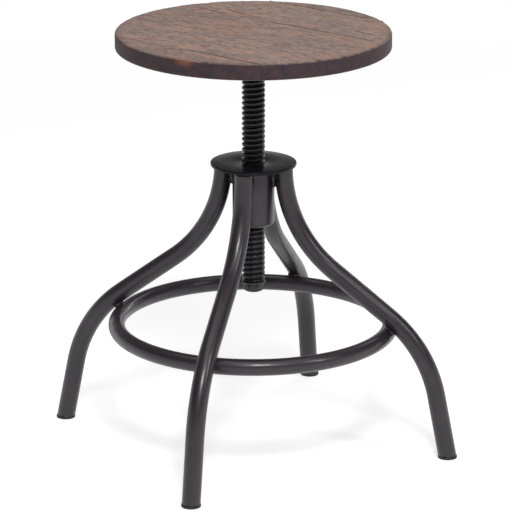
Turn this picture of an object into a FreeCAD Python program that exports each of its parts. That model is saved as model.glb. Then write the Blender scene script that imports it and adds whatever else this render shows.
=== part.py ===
"""Machinist stool: a round wooden seat on a lead screw, in a frame of four S-bent tubes and a foot ring.

Millimetres, +Z up. The origin is on the floor, under the middle of the screw.
The legs stand on the diagonals, so +Y is midway between the two back legs.
"""

import FreeCAD, Part
import itertools
import math
import os
import Sketcher

Vector = FreeCAD.Vector

doc = FreeCAD.newDocument("machinist_stool")
sizes = doc.addObject("Spreadsheet::Sheet", "Sizes")
rows = itertools.count(1)


def size(alias, value, meaning):
    """Writes one driving dimension to the sheet and gives the expression that reads it."""
    row = next(rows)
    sizes.set(f"A{row}", str(value))
    sizes.setAlias(f"A{row}", alias)
    sizes.set(f"B{row}", meaning)
    return f"Sizes.{alias}"


# Seat: boards glued edge to edge and turned to a disc
SEAT_HEIGHT = size("seat_height", 513, "floor to the top of the seat")
SEAT_DIAMETER = size("seat_diameter", 330, "across the round seat")
SEAT_THICKNESS = size("seat_thickness", 20, "thickness of the boards")
SEAT_ROUNDING = size("seat_rounding", 3, "radius on the seat's upper and lower edge")
GRAIN_BEARING = size("grain_bearing", -67, "degrees from +X to the run of the boards")
FRONT_JOINT = size("front_joint", 121.5, "middle of the seat to the glue line nearest the front")
MIDDLE_JOINT = size("middle_joint", 35, "middle of the seat to the glue line in front of it")
BACK_JOINT = size("back_joint", 51, "middle of the seat to the glue line behind it")
REAR_JOINT = size("rear_joint", 139, "middle of the seat to the glue line nearest the back")

# Plate under the seat, and the screws that hold it to the boards
FLANGE_DIAMETER = size("flange_diameter", 150, "across the plate under the seat")
FLANGE_THICKNESS = size("flange_thickness", 4, "thickness of the plate under the seat")
FLANGE_HOLE_CIRCLE = size("flange_hole_circle", 120, "circle of the four wood screws")
WOOD_SCREW_DIAMETER = size("wood_screw_diameter", 5, "shank of a wood screw")
WOOD_SCREW_GRIP = size("wood_screw_grip", 13, "length of a wood screw in the boards")
WOOD_SCREW_HEAD = size("wood_screw_head", 9.5, "across the pan head of a wood screw")
WOOD_SCREW_HEAD_HEIGHT = size("wood_screw_head_height", 2.8, "height of the pan head")
WOOD_SCREW_FACE = size("wood_screw_face", 6.6, "across the flat of the pan head's face")
WOOD_SCREW_BRIM = size("wood_screw_brim", 1.7, "height of the pan head's upright side")
PILOT_CLEARANCE = size("pilot_clearance", 0.2, "radial gap round a wood screw in its pilot hole")
PILOT_SPARE = size("pilot_spare", 1, "depth of a pilot hole past the screw's tip")
HOLE_CLEARANCE = size("hole_clearance", 0.4, "radial gap round a wood screw in the plate")
COLLAR_LEG = size("collar_leg", 5, "leg of the weld between the plate and the lead screw")
COLLAR_CROWN = size("collar_crown", 3, "middle of that weld's face, out from the screw and down")

# Lead screw and its stop
SCREW_DIAMETER = size("screw_diameter", 28, "over the crests of the thread")
SCREW_BOTTOM = size("screw_bottom", 203, "floor to the lower end of the thread, as photographed")
THREAD_PITCH = size("thread_pitch", 6.35, "rise of the seat for one turn: four threads to the inch")
THREAD_DEPTH = size("thread_depth", 3, "crest to root of the thread")
GROOVE_MOUTH = size("groove_mouth", 3.1, "width of the thread's groove at the crest")
GROOVE_ROOT = size("groove_root", 1.1, "width of the thread's groove at the root")
THREAD_PLAY = size("thread_play", 0.3, "running gap between the screw's and the nut's flanks")
PLAIN_NECK = size("plain_neck", 3, "unthreaded length under the weld at the screw's top")
SCREW_CHAMFER = size("screw_chamfer", 2, "chamfer at the ends of the thread")
SPIGOT_DIAMETER = size("spigot_diameter", 20, "turned end of the screw, in the plate under the seat")
SPIGOT_CLEARANCE = size("spigot_clearance", 0.1, "radial gap round the spigot")
BOLT_DIAMETER = size("bolt_diameter", 14, "shank of the stop bolt")
BOLT_DEPTH = size("bolt_depth", 22, "depth of the tapped hole in the screw's end")
BOLT_END_GAP = size("bolt_end_gap", 2, "gap between the bolt's end and the bottom of its hole")
BOLT_CLEARANCE = size("bolt_clearance", 0.1, "radial gap round the bolt in its hole")
DRILL_POINT = size("drill_point", 118, "degrees across the drill's point at the bottom of the hole")
BOLT_FLATS = size("bolt_flats", 22, "across the flats of the bolt's head")
BOLT_FACE = size("bolt_face", 20.6, "across the round face of the bolt's head")
BOLT_CHAMFER = size("bolt_chamfer", 30, "degrees from level of the chamfer round that face")
BOLT_HEAD_HEIGHT = size("bolt_head_height", 10, "height of the bolt's head, as photographed")
WASHER_DIAMETER = size("washer_diameter", 29.5, "across the stop washer")
WASHER_THICKNESS = size("washer_thickness", 2.5, "thickness of the stop washer")
WASHER_ROUNDING = size("washer_rounding", 0.8, "radius on the washer's rim")
WASHER_CLEARANCE = size("washer_clearance", 0.5, "radial gap round the bolt in the washer")
WASHER_PLAY = size("washer_play", 0.3, "end play of the loose washer on each face")

# Hub: plate, sleeve and the nut that carries the screw
PLATE_HEIGHT = size("plate_height", 352, "floor to the top of the round plate")
PLATE_DIAMETER = size("plate_diameter", 104, "across the round plate")
PLATE_THICKNESS = size("plate_thickness", 4, "thickness of the round plate")
PLATE_ROUNDING = size("plate_rounding", 0.8, "radius on the plate's edges")
HUB_DIAMETER = size("hub_diameter", 50.8, "outside of the hub sleeve")
HUB_LENGTH = size("hub_length", 73.5, "length of the hub sleeve below the plate")
HUB_CHAMFER = size("hub_chamfer", 2.8, "chamfer round the sleeve's lower edge")
NUT_DIAMETER = size("nut_diameter", 38, "outside of the nut in the sleeve")
NUT_FIT = size("nut_fit", 0.05, "radial gap between the nut and the sleeve")
NUT_RECESS = size("nut_recess", 2, "the nut's lower face above the sleeve's lower edge")
NUT_CHAMFER = size("nut_chamfer", 1.5, "lead chamfer at the nut's lower mouth")
SCREW_CLEARANCE = size("screw_clearance", 0.3, "radial running gap round the screw")

# Legs: one tube each, bent out and back
LEG_DIAMETER = size("leg_diameter", 22.2, "outside of the leg tube")
LEG_WALL = size("leg_wall", 1.5, "wall of the leg tube")
LEG_GAP = size("leg_gap", 1.6, "gap between a leg's top and the hub sleeve, filled by weld")
UPPER_BEND = size("upper_bend", 154, "centre-line radius of the bend under the plate")
LEG_SLOPE = size("leg_slope", 53.3, "degrees from upright of the straight between the bends")
LEG_STRAIGHT = size("leg_straight", 88.7, "length of the straight between the bends")
LOWER_BEND = size("lower_bend", 156.7, "centre-line radius of the lower bend")
LEG_SPLAY = size("leg_splay", 11.3, "degrees from upright of the leg's lower end")

# Foot ring
RING_HEIGHT = size("ring_height", 147.5, "floor to the middle of the ring's tube")
RING_TUBE = size("ring_tube", 20, "outside of the ring's tube")
RING_WALL = size("ring_wall", 1.5, "wall of the ring's tube")
RING_GAP = size("ring_gap", 0.3, "gap between the ring and a leg, filled by weld")

# Plastic plugs in the leg ends
PLUG_FLANGE = size("plug_flange", 23.6, "across the plug's rim")
PLUG_RIM = size("plug_rim", 3, "thickness of the plug's rim under the tube")
PLUG_ROUNDING = size("plug_rounding", 1, "radius on the rim's edges")
PLUG_LENGTH = size("plug_length", 16, "length of the plug's shank, up the leg")
PLUG_CLEARANCE = size("plug_clearance", 0.15, "radial gap between the shank and the tube")

# Weld beads
HUB_BEAD_LENGTH = size("hub_bead_length", 26, "plate to the lower end of a bead between leg and hub")
HUB_BEAD_DROP = size("hub_bead_drop", 10.4, "plate to the widest place of that bead")
HUB_BEAD_WIDTH = size("hub_bead_width", 17, "width of that bead, across the leg")
HUB_BEAD_DEPTH = size("hub_bead_depth", 11.4, "depth of that bead, outwards from the hub")
RING_BEAD_WIDTH = size("ring_bead_width", 15, "width and height of a bead between leg and ring")
RING_BEAD_DEPTH = size("ring_bead_depth", 10, "depth of that bead, outwards")

# How far the outline of a cut runs on past the surface that it cuts
OVERCUT = size("overcut", 0.4, "run of a cutting outline past the surface")

SAME_RADIUS = 0.01
FULL_TURN = 360

doc.recompute()

# Places that follow from the driving dimensions
SEAT_UNDERSIDE = f"({SEAT_HEIGHT} - {SEAT_THICKNESS})"
FLANGE_UNDERSIDE = f"({SEAT_UNDERSIDE} - {FLANGE_THICKNESS})"
PLATE_UNDERSIDE = f"({PLATE_HEIGHT} - {PLATE_THICKNESS})"
HUB_BOTTOM = f"({PLATE_UNDERSIDE} - {HUB_LENGTH})"
LEG_TOP_RADIUS = f"({HUB_DIAMETER} / 2 + {LEG_GAP} + {LEG_DIAMETER} / 2)"
LEG_BORE = f"({LEG_DIAMETER} - 2 * {LEG_WALL})"

# Centre of the lower bend, seen from the side, and where the ring's tube touches the leg there
BEND_RADIUS_OUT = (
    f"({LEG_TOP_RADIUS} + {UPPER_BEND} * (1 - cos({LEG_SLOPE}))"
    f" + {LEG_STRAIGHT} * sin({LEG_SLOPE}) - {LOWER_BEND} * cos({LEG_SLOPE}))"
)
BEND_HEIGHT = (
    f"({PLATE_UNDERSIDE} - ({UPPER_BEND} + {LOWER_BEND}) * sin({LEG_SLOPE})"
    f" - {LEG_STRAIGHT} * cos({LEG_SLOPE}))"
)
RING_OFFSET = f"({LOWER_BEND} - {LEG_DIAMETER} / 2 - {RING_GAP} - {RING_TUBE} / 2)"
RING_RADIUS = (
    f"({BEND_RADIUS_OUT} + sqrt({RING_OFFSET} ^ 2 - ({RING_HEIGHT} - {BEND_HEIGHT}) ^ 2))"
)
FOOT_RADIUS = (
    f"({BEND_RADIUS_OUT} + {LOWER_BEND} * cos({LEG_SPLAY})"
    f" + ({BEND_HEIGHT} + {LOWER_BEND} * sin({LEG_SPLAY})) * tan({LEG_SPLAY}))"
)

LEG_BEARINGS = {"front_left": -135, "front_right": -45, "back_right": 45, "back_left": 135}


def value(expression):
    """The number that an expression of the sheet's cells comes to."""
    result = sizes.evalExpression(expression)
    return float(result.Value) if hasattr(result, "Value") else float(result)


def turned(bearing):
    """The placement that turns a piece about the stool's axis."""
    return FreeCAD.Placement(Vector(), FreeCAD.Rotation(Vector(0, 0, 1), bearing))


def new_body(label, bearing=0):
    """An empty body, turned about the stool's axis."""
    body = doc.addObject("PartDesign::Body", label)
    body.Placement = turned(bearing)
    return body


def new_sketch(body, role, height=None):
    """A sketch on one of the body's origin planes, raised to a height where one is given."""
    plane = next(f for f in body.Origin.OriginFeatures if f.Role == role)
    sketch = body.newObject("Sketcher::SketchObject", "Sketch")
    sketch.AttachmentSupport = [(plane, "")]
    sketch.MapMode = "FlatFace"
    if height:
        sketch.setExpression("AttachmentOffset.Base.z", height)
    return sketch


def bind(sketch, kind, place, expression):
    """Adds a dimension to the sketch and binds it to an expression."""
    number = value(expression)
    if kind == "Angle":
        number = FreeCAD.Units.Quantity(number, FreeCAD.Units.Angle)
    index = sketch.addConstraint(Sketcher.Constraint(kind, *place, number))
    sketch.setExpression(f"Constraints[{index}]", expression)


def place_point(sketch, geometry, point, x, z):
    """Ties a point to signed distances from the sketch's origin."""
    for kind, distance in (("DistanceX", x), ("DistanceY", z)):
        if distance == "0":
            axis = -2 if kind == "DistanceX" else -1
            sketch.addConstraint(Sketcher.Constraint("PointOnObject", geometry, point, axis))
        else:
            bind(sketch, kind, (-1, 1, geometry, point), distance)


def polygon(sketch, corners):
    """A closed outline whose corners are pairs of expressions."""
    points = [Vector(value(x), value(z), 0) for x, z in corners]
    for start, end in zip(points, points[1:] + points[:1]):
        sketch.addGeometry(Part.LineSegment(start, end))
    for number in range(len(points)):
        following = (number + 1) % len(points)
        sketch.addConstraint(Sketcher.Constraint("Coincident", number, 2, following, 1))
    for number, (x, z) in enumerate(corners):
        place_point(sketch, number, 1, x, z)


def circle(sketch, diameter, x="0", y="0"):
    """A circle of a given diameter round a point."""
    centre = Vector(value(x), value(y), 0)
    index = sketch.addGeometry(Part.Circle(centre, Vector(0, 0, 1), value(diameter) / 2))
    place_point(sketch, index, 3, x, y)
    bind(sketch, "Diameter", (index,), diameter)


def revolve(body, sketch):
    """The sketch turned a full circle about the stool's axis."""
    feature = body.newObject("PartDesign::Revolution", "Revolution")
    feature.Profile = sketch
    feature.ReferenceAxis = (sketch, ["V_Axis"])
    feature.Angle = FULL_TURN


def turned_part(label, corners, bearing=0):
    """A body of revolution from an outline of radius and height."""
    body = new_body(label, bearing)
    sketch = new_sketch(body, "XZ_Plane")
    polygon(sketch, corners)
    revolve(body, sketch)
    return body


def pad(body, sketch, length):
    """The sketch drawn out upwards by a length."""
    feature = body.newObject("PartDesign::Pad", "Pad")
    feature.Profile = sketch
    feature.setExpression("Length", length)
    return feature


def cut_through(body, sketch, upward=True):
    """Cuts a level sketch through all that lies above it, or all that lies below it."""
    feature = body.newObject("PartDesign::Pocket", "Pocket")
    feature.Profile = sketch
    feature.Type = "ThroughAll"
    feature.Reversed = upward
    return feature


def round_edges(body, feature, radius, chosen):
    """Rounds those edges of a feature that a test picks."""
    doc.recompute()
    names = [f"Edge{n}" for n, edge in enumerate(feature.Shape.Edges, 1) if chosen(edge)]
    fillet = body.newObject("PartDesign::Fillet", "Fillet")
    fillet.Base = (feature, names)
    fillet.setExpression("Radius", radius)


def is_arc_of(radius):
    """A test for level round edges of a radius."""
    wanted = value(radius)

    def test(edge):
        curve = edge.Curve
        return hasattr(curve, "Radius") and abs(curve.Radius - wanted) < SAME_RADIUS

    return test


def wind_thread(body, profile, height):
    """Cuts a right-hand helical groove with the outline profile, rising by height."""
    sketch = new_sketch(body, "XZ_Plane")
    polygon(sketch, profile)
    axis = next(f for f in body.Origin.OriginFeatures if f.Role == "Z_Axis")
    helix = body.newObject("PartDesign::SubtractiveHelix", "Thread")
    helix.Profile = (sketch, [""])
    helix.ReferenceAxis = (axis, [""])
    helix.Mode = "pitch-height-angle"
    helix.setExpression("Pitch", THREAD_PITCH)
    helix.setExpression("Height", height)


def compound(label, objects):
    """Several separate solids under one name."""
    group = doc.addObject("Part::Compound", label)
    group.Links = objects


# Seat boards. Their outline is two glue lines, run to the seat's round edge.
# The four wood screws stand on the corners of a square with two sides along the boards.
SEAT_RADIUS = f"({SEAT_DIAMETER} / 2)"
SQUARE_CORNER = 45
SCREW_OFFSET = f"({FLANGE_HOLE_CIRCLE} / 2 * cos({SQUARE_CORNER}))"


def half_chord(joint):
    """Half the length of a glue line that lies this far from the seat's middle."""
    return f"sqrt({SEAT_RADIUS} ^ 2 - ({joint}) ^ 2)"


def board_outline(sketch, joints):
    """One or two glue lines closed by arcs of the seat's edge. joints are signed distances."""
    middle = Vector()
    upward = Vector(0, 0, 1)
    edge = Part.Circle(middle, upward, value(SEAT_RADIUS))
    ends = []
    for joint in joints:
        reach = value(half_chord(joint))
        ends.append((Vector(-reach, value(joint), 0), Vector(reach, value(joint), 0)))
    if len(joints) == 1:
        left, right = ends[0]
        start, end = (right, left) if value(joints[0]) > 0 else (left, right)
        sketch.addGeometry(Part.LineSegment(end, start))
        sketch.addGeometry(Part.ArcOfCircle(edge, edge.parameter(start), edge.parameter(end)))
        links = [(0, 2, 1, 1), (1, 2, 0, 1)]
    else:
        (near_left, near_right), (far_left, far_right) = ends
        sketch.addGeometry(Part.LineSegment(near_left, near_right))
        arc = Part.ArcOfCircle(edge, edge.parameter(near_right), edge.parameter(far_right))
        sketch.addGeometry(arc)
        sketch.addGeometry(Part.LineSegment(far_right, far_left))
        arc = Part.ArcOfCircle(edge, edge.parameter(far_left), edge.parameter(near_left))
        sketch.addGeometry(arc)
        links = [(0, 2, 1, 1), (1, 2, 2, 1), (2, 2, 3, 1), (3, 2, 0, 1)]
    for link in links:
        sketch.addConstraint(Sketcher.Constraint("Coincident", *link))
    for index, joint in enumerate(joints):
        line = 2 * index
        sketch.addConstraint(Sketcher.Constraint("Horizontal", line))
        bind(sketch, "DistanceY", (-1, 1, line, 1), joint)
        arc = line + 1
        sketch.addConstraint(Sketcher.Constraint("Coincident", arc, 3, -1, 1))
        bind(sketch, "Radius", (arc,), SEAT_RADIUS)


def seat_board(number, joints, screw_line=None):
    """One board, with two pilot holes where the plate's screws reach it."""
    body = new_body(f"seat_board_{number}", value(GRAIN_BEARING))
    sketch = new_sketch(body, "XY_Plane", SEAT_UNDERSIDE)
    board_outline(sketch, joints)
    blank = pad(body, sketch, SEAT_THICKNESS)
    round_edges(body, blank, SEAT_ROUNDING, is_arc_of(SEAT_RADIUS))
    if screw_line:
        holes = new_sketch(body, "XY_Plane", SEAT_UNDERSIDE)
        for side in ("-", ""):
            diameter = f"{WOOD_SCREW_DIAMETER} + 2 * {PILOT_CLEARANCE}"
            circle(holes, diameter, f"{side}{SCREW_OFFSET}", screw_line)
        pocket = body.newObject("PartDesign::Pocket", "PilotHoles")
        pocket.Profile = holes
        pocket.setExpression("Length", f"{WOOD_SCREW_GRIP} + {PILOT_SPARE}")
        pocket.Reversed = True


seat_board(1, [f"-{FRONT_JOINT}"])
seat_board(2, [f"-{FRONT_JOINT}", f"-{MIDDLE_JOINT}"], f"-{SCREW_OFFSET}")
seat_board(3, [f"-{MIDDLE_JOINT}", BACK_JOINT], SCREW_OFFSET)
seat_board(4, [BACK_JOINT, REAR_JOINT])
seat_board(5, [REAR_JOINT])

# Plate under the seat, bored for the screw's spigot and drilled for four wood screws
flange = new_body("seat_flange", value(GRAIN_BEARING))
disc = new_sketch(flange, "XY_Plane", FLANGE_UNDERSIDE)
circle(disc, FLANGE_DIAMETER)
circle(disc, f"{SPIGOT_DIAMETER} + 2 * {SPIGOT_CLEARANCE}")
pad(flange, disc, FLANGE_THICKNESS)
drilling = new_sketch(flange, "XY_Plane", FLANGE_UNDERSIDE)
circle(drilling, f"{WOOD_SCREW_DIAMETER} + 2 * {HOLE_CLEARANCE}", SCREW_OFFSET, SCREW_OFFSET)
drilled = cut_through(flange, drilling)
pattern = flange.newObject("PartDesign::PolarPattern", "FourHoles")
pattern.Originals = [drilled]
pattern.Axis = (drilling, ["N_Axis"])
pattern.Angle = FULL_TURN
pattern.Occurrences = 4
flange.Tip = pattern

# Wood screws: pan head below the plate, shank up into the boards
WOOD_SCREW_TIP = f"({SEAT_UNDERSIDE} + {WOOD_SCREW_GRIP})"


def wood_screw(number, bearing):
    """A screw whose own axis stands off the stool's axis by the radius of the hole circle."""
    body = turned_part(
        f"wood_screw_{number}",
        [
            ("0", f"{FLANGE_UNDERSIDE} - {WOOD_SCREW_HEAD_HEIGHT}"),
            (f"{WOOD_SCREW_FACE} / 2", f"{FLANGE_UNDERSIDE} - {WOOD_SCREW_HEAD_HEIGHT}"),
            (f"{WOOD_SCREW_HEAD} / 2", f"{FLANGE_UNDERSIDE} - {WOOD_SCREW_BRIM}"),
            (f"{WOOD_SCREW_HEAD} / 2", FLANGE_UNDERSIDE),
            (f"{WOOD_SCREW_DIAMETER} / 2", FLANGE_UNDERSIDE),
            (f"{WOOD_SCREW_DIAMETER} / 2", f"{WOOD_SCREW_TIP} - {WOOD_SCREW_DIAMETER}"),
            ("0", WOOD_SCREW_TIP),
        ],
        bearing,
    )
    for axis, share in (("x", "cos"), ("y", "sin")):
        body.setExpression(
            f"Placement.Base.{axis}", f"{FLANGE_HOLE_CIRCLE} / 2 * {share}({bearing})"
        )
    return body


first_screw = value(GRAIN_BEARING) + SQUARE_CORNER
screw_bearings = [first_screw + quarter * FULL_TURN / 4 for quarter in range(4)]
compound("flange_screws", [wood_screw(n, b) for n, b in enumerate(screw_bearings, 1)])

# Weld collar in the corner between the plate and the lead screw, with a crowned face
COLLAR_BORE = f"({SCREW_DIAMETER} / 2)"
turned_part(
    "flange_weld",
    [
        (COLLAR_BORE, FLANGE_UNDERSIDE),
        (f"{COLLAR_BORE} + {COLLAR_LEG}", FLANGE_UNDERSIDE),
        (f"{COLLAR_BORE} + {COLLAR_CROWN}", f"{FLANGE_UNDERSIDE} - {COLLAR_CROWN}"),
        (COLLAR_BORE, f"{FLANGE_UNDERSIDE} - {COLLAR_LEG}"),
    ],
)

# Lead screw: spigot in the plate, full-diameter thread below it, tapped hole for the stop bolt
SCREW_RADIUS = f"({SCREW_DIAMETER} / 2)"
BOLT_HOLE = f"({BOLT_DIAMETER} / 2 + {BOLT_CLEARANCE})"
SCREW_CORE = f"({SCREW_RADIUS} - {THREAD_DEPTH})"
THREAD_START = f"({SCREW_BOTTOM} - {THREAD_PITCH})"
THREAD_END = f"({FLANGE_UNDERSIDE} - {COLLAR_LEG} - {PLAIN_NECK})"
FLANK = f"(({GROOVE_MOUTH} - {GROOVE_ROOT}) / 2 / {THREAD_DEPTH})"
lead_screw = turned_part(
    "lead_screw",
    [
        ("0", SEAT_UNDERSIDE),
        (f"{SPIGOT_DIAMETER} / 2", SEAT_UNDERSIDE),
        (f"{SPIGOT_DIAMETER} / 2", FLANGE_UNDERSIDE),
        (SCREW_RADIUS, FLANGE_UNDERSIDE),
        (SCREW_RADIUS, f"{SCREW_BOTTOM} + {SCREW_CHAMFER}"),
        (f"{SCREW_RADIUS} - {SCREW_CHAMFER}", SCREW_BOTTOM),
        (BOLT_HOLE, SCREW_BOTTOM),
        (BOLT_HOLE, f"{SCREW_BOTTOM} + {BOLT_DEPTH}"),
        ("0", f"{SCREW_BOTTOM} + {BOLT_DEPTH} + {BOLT_HOLE} / tan({DRILL_POINT} / 2)"),
    ],
)

# Its thread: a groove with sloping flanks. The outline runs on past the crest.
ROOT_HALF = f"({GROOVE_ROOT} / 2)"
OUTER_HALF = f"({GROOVE_MOUTH} / 2 + {OVERCUT} * {FLANK})"
wind_thread(
    lead_screw,
    [
        (SCREW_CORE, f"{THREAD_START} - {ROOT_HALF}"),
        (f"{SCREW_RADIUS} + {OVERCUT}", f"{THREAD_START} - {OUTER_HALF}"),
        (f"{SCREW_RADIUS} + {OVERCUT}", f"{THREAD_START} + {OUTER_HALF}"),
        (SCREW_CORE, f"{THREAD_START} + {ROOT_HALF}"),
    ],
    f"{THREAD_END} - {THREAD_START}",
)

# Loose washer that stops the seat from being wound out of the hub
WASHER_TOP = f"({SCREW_BOTTOM} - {WASHER_PLAY})"
WASHER_BOTTOM = f"({WASHER_TOP} - {WASHER_THICKNESS})"
washer = new_body("stop_washer")
washer_outline = new_sketch(washer, "XY_Plane", WASHER_BOTTOM)
circle(washer_outline, WASHER_DIAMETER)
circle(washer_outline, f"{BOLT_DIAMETER} + 2 * {WASHER_CLEARANCE}")
washer_disc = pad(washer, washer_outline, WASHER_THICKNESS)
round_edges(washer, washer_disc, WASHER_ROUNDING, is_arc_of(f"{WASHER_DIAMETER} / 2"))

# Stop bolt: hexagon head whose lower corners are turned off
HEAD_TOP = f"({WASHER_BOTTOM} - {WASHER_PLAY})"
HEAD_BOTTOM = f"({HEAD_TOP} - {BOLT_HEAD_HEIGHT})"
HEAD_CORNER = f"({BOLT_FLATS} / 2 / cos(30))"
HEAD_CUT_OUT = f"({HEAD_CORNER} + {OVERCUT})"
HEAD_CUT_RISE = f"(({HEAD_CUT_OUT} - {BOLT_FACE} / 2) * tan({BOLT_CHAMFER}))"
bolt = new_body("stop_bolt")
hexagon = new_sketch(bolt, "XY_Plane", HEAD_BOTTOM)
polygon(
    hexagon,
    [
        (f"{HEAD_CORNER} * cos({angle})", f"{HEAD_CORNER} * sin({angle})")
        for angle in range(30, 390, 60)
    ],
)
pad(bolt, hexagon, BOLT_HEAD_HEIGHT)
shank_outline = new_sketch(bolt, "XY_Plane", HEAD_TOP)
circle(shank_outline, BOLT_DIAMETER)
pad(bolt, shank_outline, f"{SCREW_BOTTOM} + {BOLT_DEPTH} - {BOLT_END_GAP} - {HEAD_TOP}")
corner_cut = new_sketch(bolt, "XZ_Plane")
polygon(
    corner_cut,
    [
        (f"{BOLT_FACE} / 2", HEAD_BOTTOM),
        (HEAD_CUT_OUT, HEAD_BOTTOM),
        (HEAD_CUT_OUT, f"{HEAD_BOTTOM} + {HEAD_CUT_RISE}"),
    ],
)
groove = bolt.newObject("PartDesign::Groove", "HeadChamfer")
groove.Profile = corner_cut
groove.ReferenceAxis = (corner_cut, ["V_Axis"])
groove.Angle = FULL_TURN

# Round plate on the hub
plate = new_body("top_plate")
plate_outline = new_sketch(plate, "XY_Plane", PLATE_UNDERSIDE)
circle(plate_outline, PLATE_DIAMETER)
circle(plate_outline, f"{SCREW_DIAMETER} + 2 * {SCREW_CLEARANCE}")
plate_disc = pad(plate, plate_outline, PLATE_THICKNESS)
round_edges(plate, plate_disc, PLATE_ROUNDING, is_arc_of(f"{PLATE_DIAMETER} / 2"))

# Hub sleeve: heavy tube between the legs, chamfered at its lower edge
SLEEVE_BORE = f"({NUT_DIAMETER} / 2 + {NUT_FIT})"
turned_part(
    "hub_sleeve",
    [
        (SLEEVE_BORE, HUB_BOTTOM),
        (f"{HUB_DIAMETER} / 2 - {HUB_CHAMFER}", HUB_BOTTOM),
        (f"{HUB_DIAMETER} / 2", f"{HUB_BOTTOM} + {HUB_CHAMFER}"),
        (f"{HUB_DIAMETER} / 2", PLATE_UNDERSIDE),
        (SLEEVE_BORE, PLATE_UNDERSIDE),
    ],
)

# Nut in the sleeve: carries the screw over its whole length
NUT_BORE = f"({SCREW_CORE} + {SCREW_CLEARANCE})"
NUT_BOTTOM = f"({HUB_BOTTOM} + {NUT_RECESS})"
screw_nut = turned_part(
    "screw_nut",
    [
        (f"{NUT_BORE} + {NUT_CHAMFER}", NUT_BOTTOM),
        (f"{NUT_DIAMETER} / 2", NUT_BOTTOM),
        (f"{NUT_DIAMETER} / 2", PLATE_UNDERSIDE),
        (NUT_BORE, PLATE_UNDERSIDE),
        (NUT_BORE, f"{NUT_BOTTOM} + {NUT_CHAMFER}"),
    ],
)

# The nut's thread is cut by the outline of the screw's crest, wider by the running gap.
# It starts half a pitch off the screw's groove, a whole number of turns up.
TURNS_BELOW_NUT = f"(floor(({NUT_BOTTOM} - {SCREW_BOTTOM}) / {THREAD_PITCH}) - 1)"
CREST_START = f"({THREAD_START} + ({TURNS_BELOW_NUT} + 0.5) * {THREAD_PITCH})"
CREST_HALF = f"(({THREAD_PITCH} - {GROOVE_MOUTH}) / 2 + {THREAD_PLAY})"
CREST_ROOT_HALF = f"({CREST_HALF} + ({THREAD_DEPTH} + {OVERCUT}) * {FLANK})"
wind_thread(
    screw_nut,
    [
        (f"{SCREW_CORE} - {OVERCUT}", f"{CREST_START} - {CREST_ROOT_HALF}"),
        (f"{SCREW_RADIUS} + {SCREW_CLEARANCE}", f"{CREST_START} - {CREST_HALF}"),
        (f"{SCREW_RADIUS} + {SCREW_CLEARANCE}", f"{CREST_START} + {CREST_HALF}"),
        (f"{SCREW_CORE} - {OVERCUT}", f"{CREST_START} + {CREST_ROOT_HALF}"),
    ],
    f"{PLATE_UNDERSIDE} + {THREAD_PITCH} - {CREST_START}",
)


def leg_path(sketch):
    """The tube's centre line: upright at the plate, bent out, straight, bent back, straight."""
    top = Vector(value(LEG_TOP_RADIUS), value(PLATE_UNDERSIDE), 0)
    upper = Vector(top.x + value(UPPER_BEND), top.y, 0)
    lower = Vector(value(BEND_RADIUS_OUT), value(BEND_HEIGHT), 0)
    slope = math.radians(value(LEG_SLOPE))
    splay = math.radians(value(LEG_SPLAY))
    upward = Vector(0, 0, 1)
    bend_out = Part.Circle(upper, upward, value(UPPER_BEND))
    bend_back = Part.Circle(lower, upward, value(LOWER_BEND))
    first_end = bend_out.value(math.pi + slope)
    second_start = bend_back.value(slope)
    second_end = bend_back.value(splay)
    foot = Vector(value(FOOT_RADIUS), 0, 0)
    sketch.addGeometry(Part.ArcOfCircle(bend_out, math.pi, math.pi + slope))
    sketch.addGeometry(Part.LineSegment(first_end, second_start))
    sketch.addGeometry(Part.ArcOfCircle(bend_back, splay, slope))
    sketch.addGeometry(Part.LineSegment(second_end, foot))
    place_point(sketch, 0, 1, LEG_TOP_RADIUS, PLATE_UNDERSIDE)
    bind(sketch, "DistanceY", (-1, 1, 0, 3), PLATE_UNDERSIDE)
    bind(sketch, "Radius", (0,), UPPER_BEND)
    sketch.addConstraint(Sketcher.Constraint("Tangent", 0, 2, 1, 1))
    bind(sketch, "Angle", (1,), f"{LEG_SLOPE} - 90")
    bind(sketch, "Distance", (1,), LEG_STRAIGHT)
    sketch.addConstraint(Sketcher.Constraint("Tangent", 1, 2, 2, 2))
    bind(sketch, "Radius", (2,), LOWER_BEND)
    sketch.addConstraint(Sketcher.Constraint("Tangent", 2, 1, 3, 1))
    bind(sketch, "Angle", (3,), f"{LEG_SPLAY} - 90")
    sketch.addConstraint(Sketcher.Constraint("PointOnObject", 3, 2, -1))


def level_foot(body, height):
    """Cuts a leaning piece off level, at a height above the floor."""
    below = new_sketch(body, "XY_Plane", height)
    circle(below, f"2 * {LEG_DIAMETER}", FOOT_RADIUS)
    cut_through(body, below, upward=False)


def bent_leg(label, bearing):
    """A tube swept along the centre line and cut level where it meets its plug."""
    body = new_body(label, bearing)
    path = new_sketch(body, "XZ_Plane")
    leg_path(path)
    section = new_sketch(body, "XY_Plane", PLATE_UNDERSIDE)
    circle(section, LEG_DIAMETER, LEG_TOP_RADIUS)
    circle(section, LEG_BORE, LEG_TOP_RADIUS)
    doc.recompute()
    pipe = body.newObject("PartDesign::AdditivePipe", "BentTube")
    pipe.Profile = section
    pipe.Spine = (path, [f"Edge{n}" for n in range(1, 5)])
    level_foot(body, PLUG_RIM)


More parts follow.
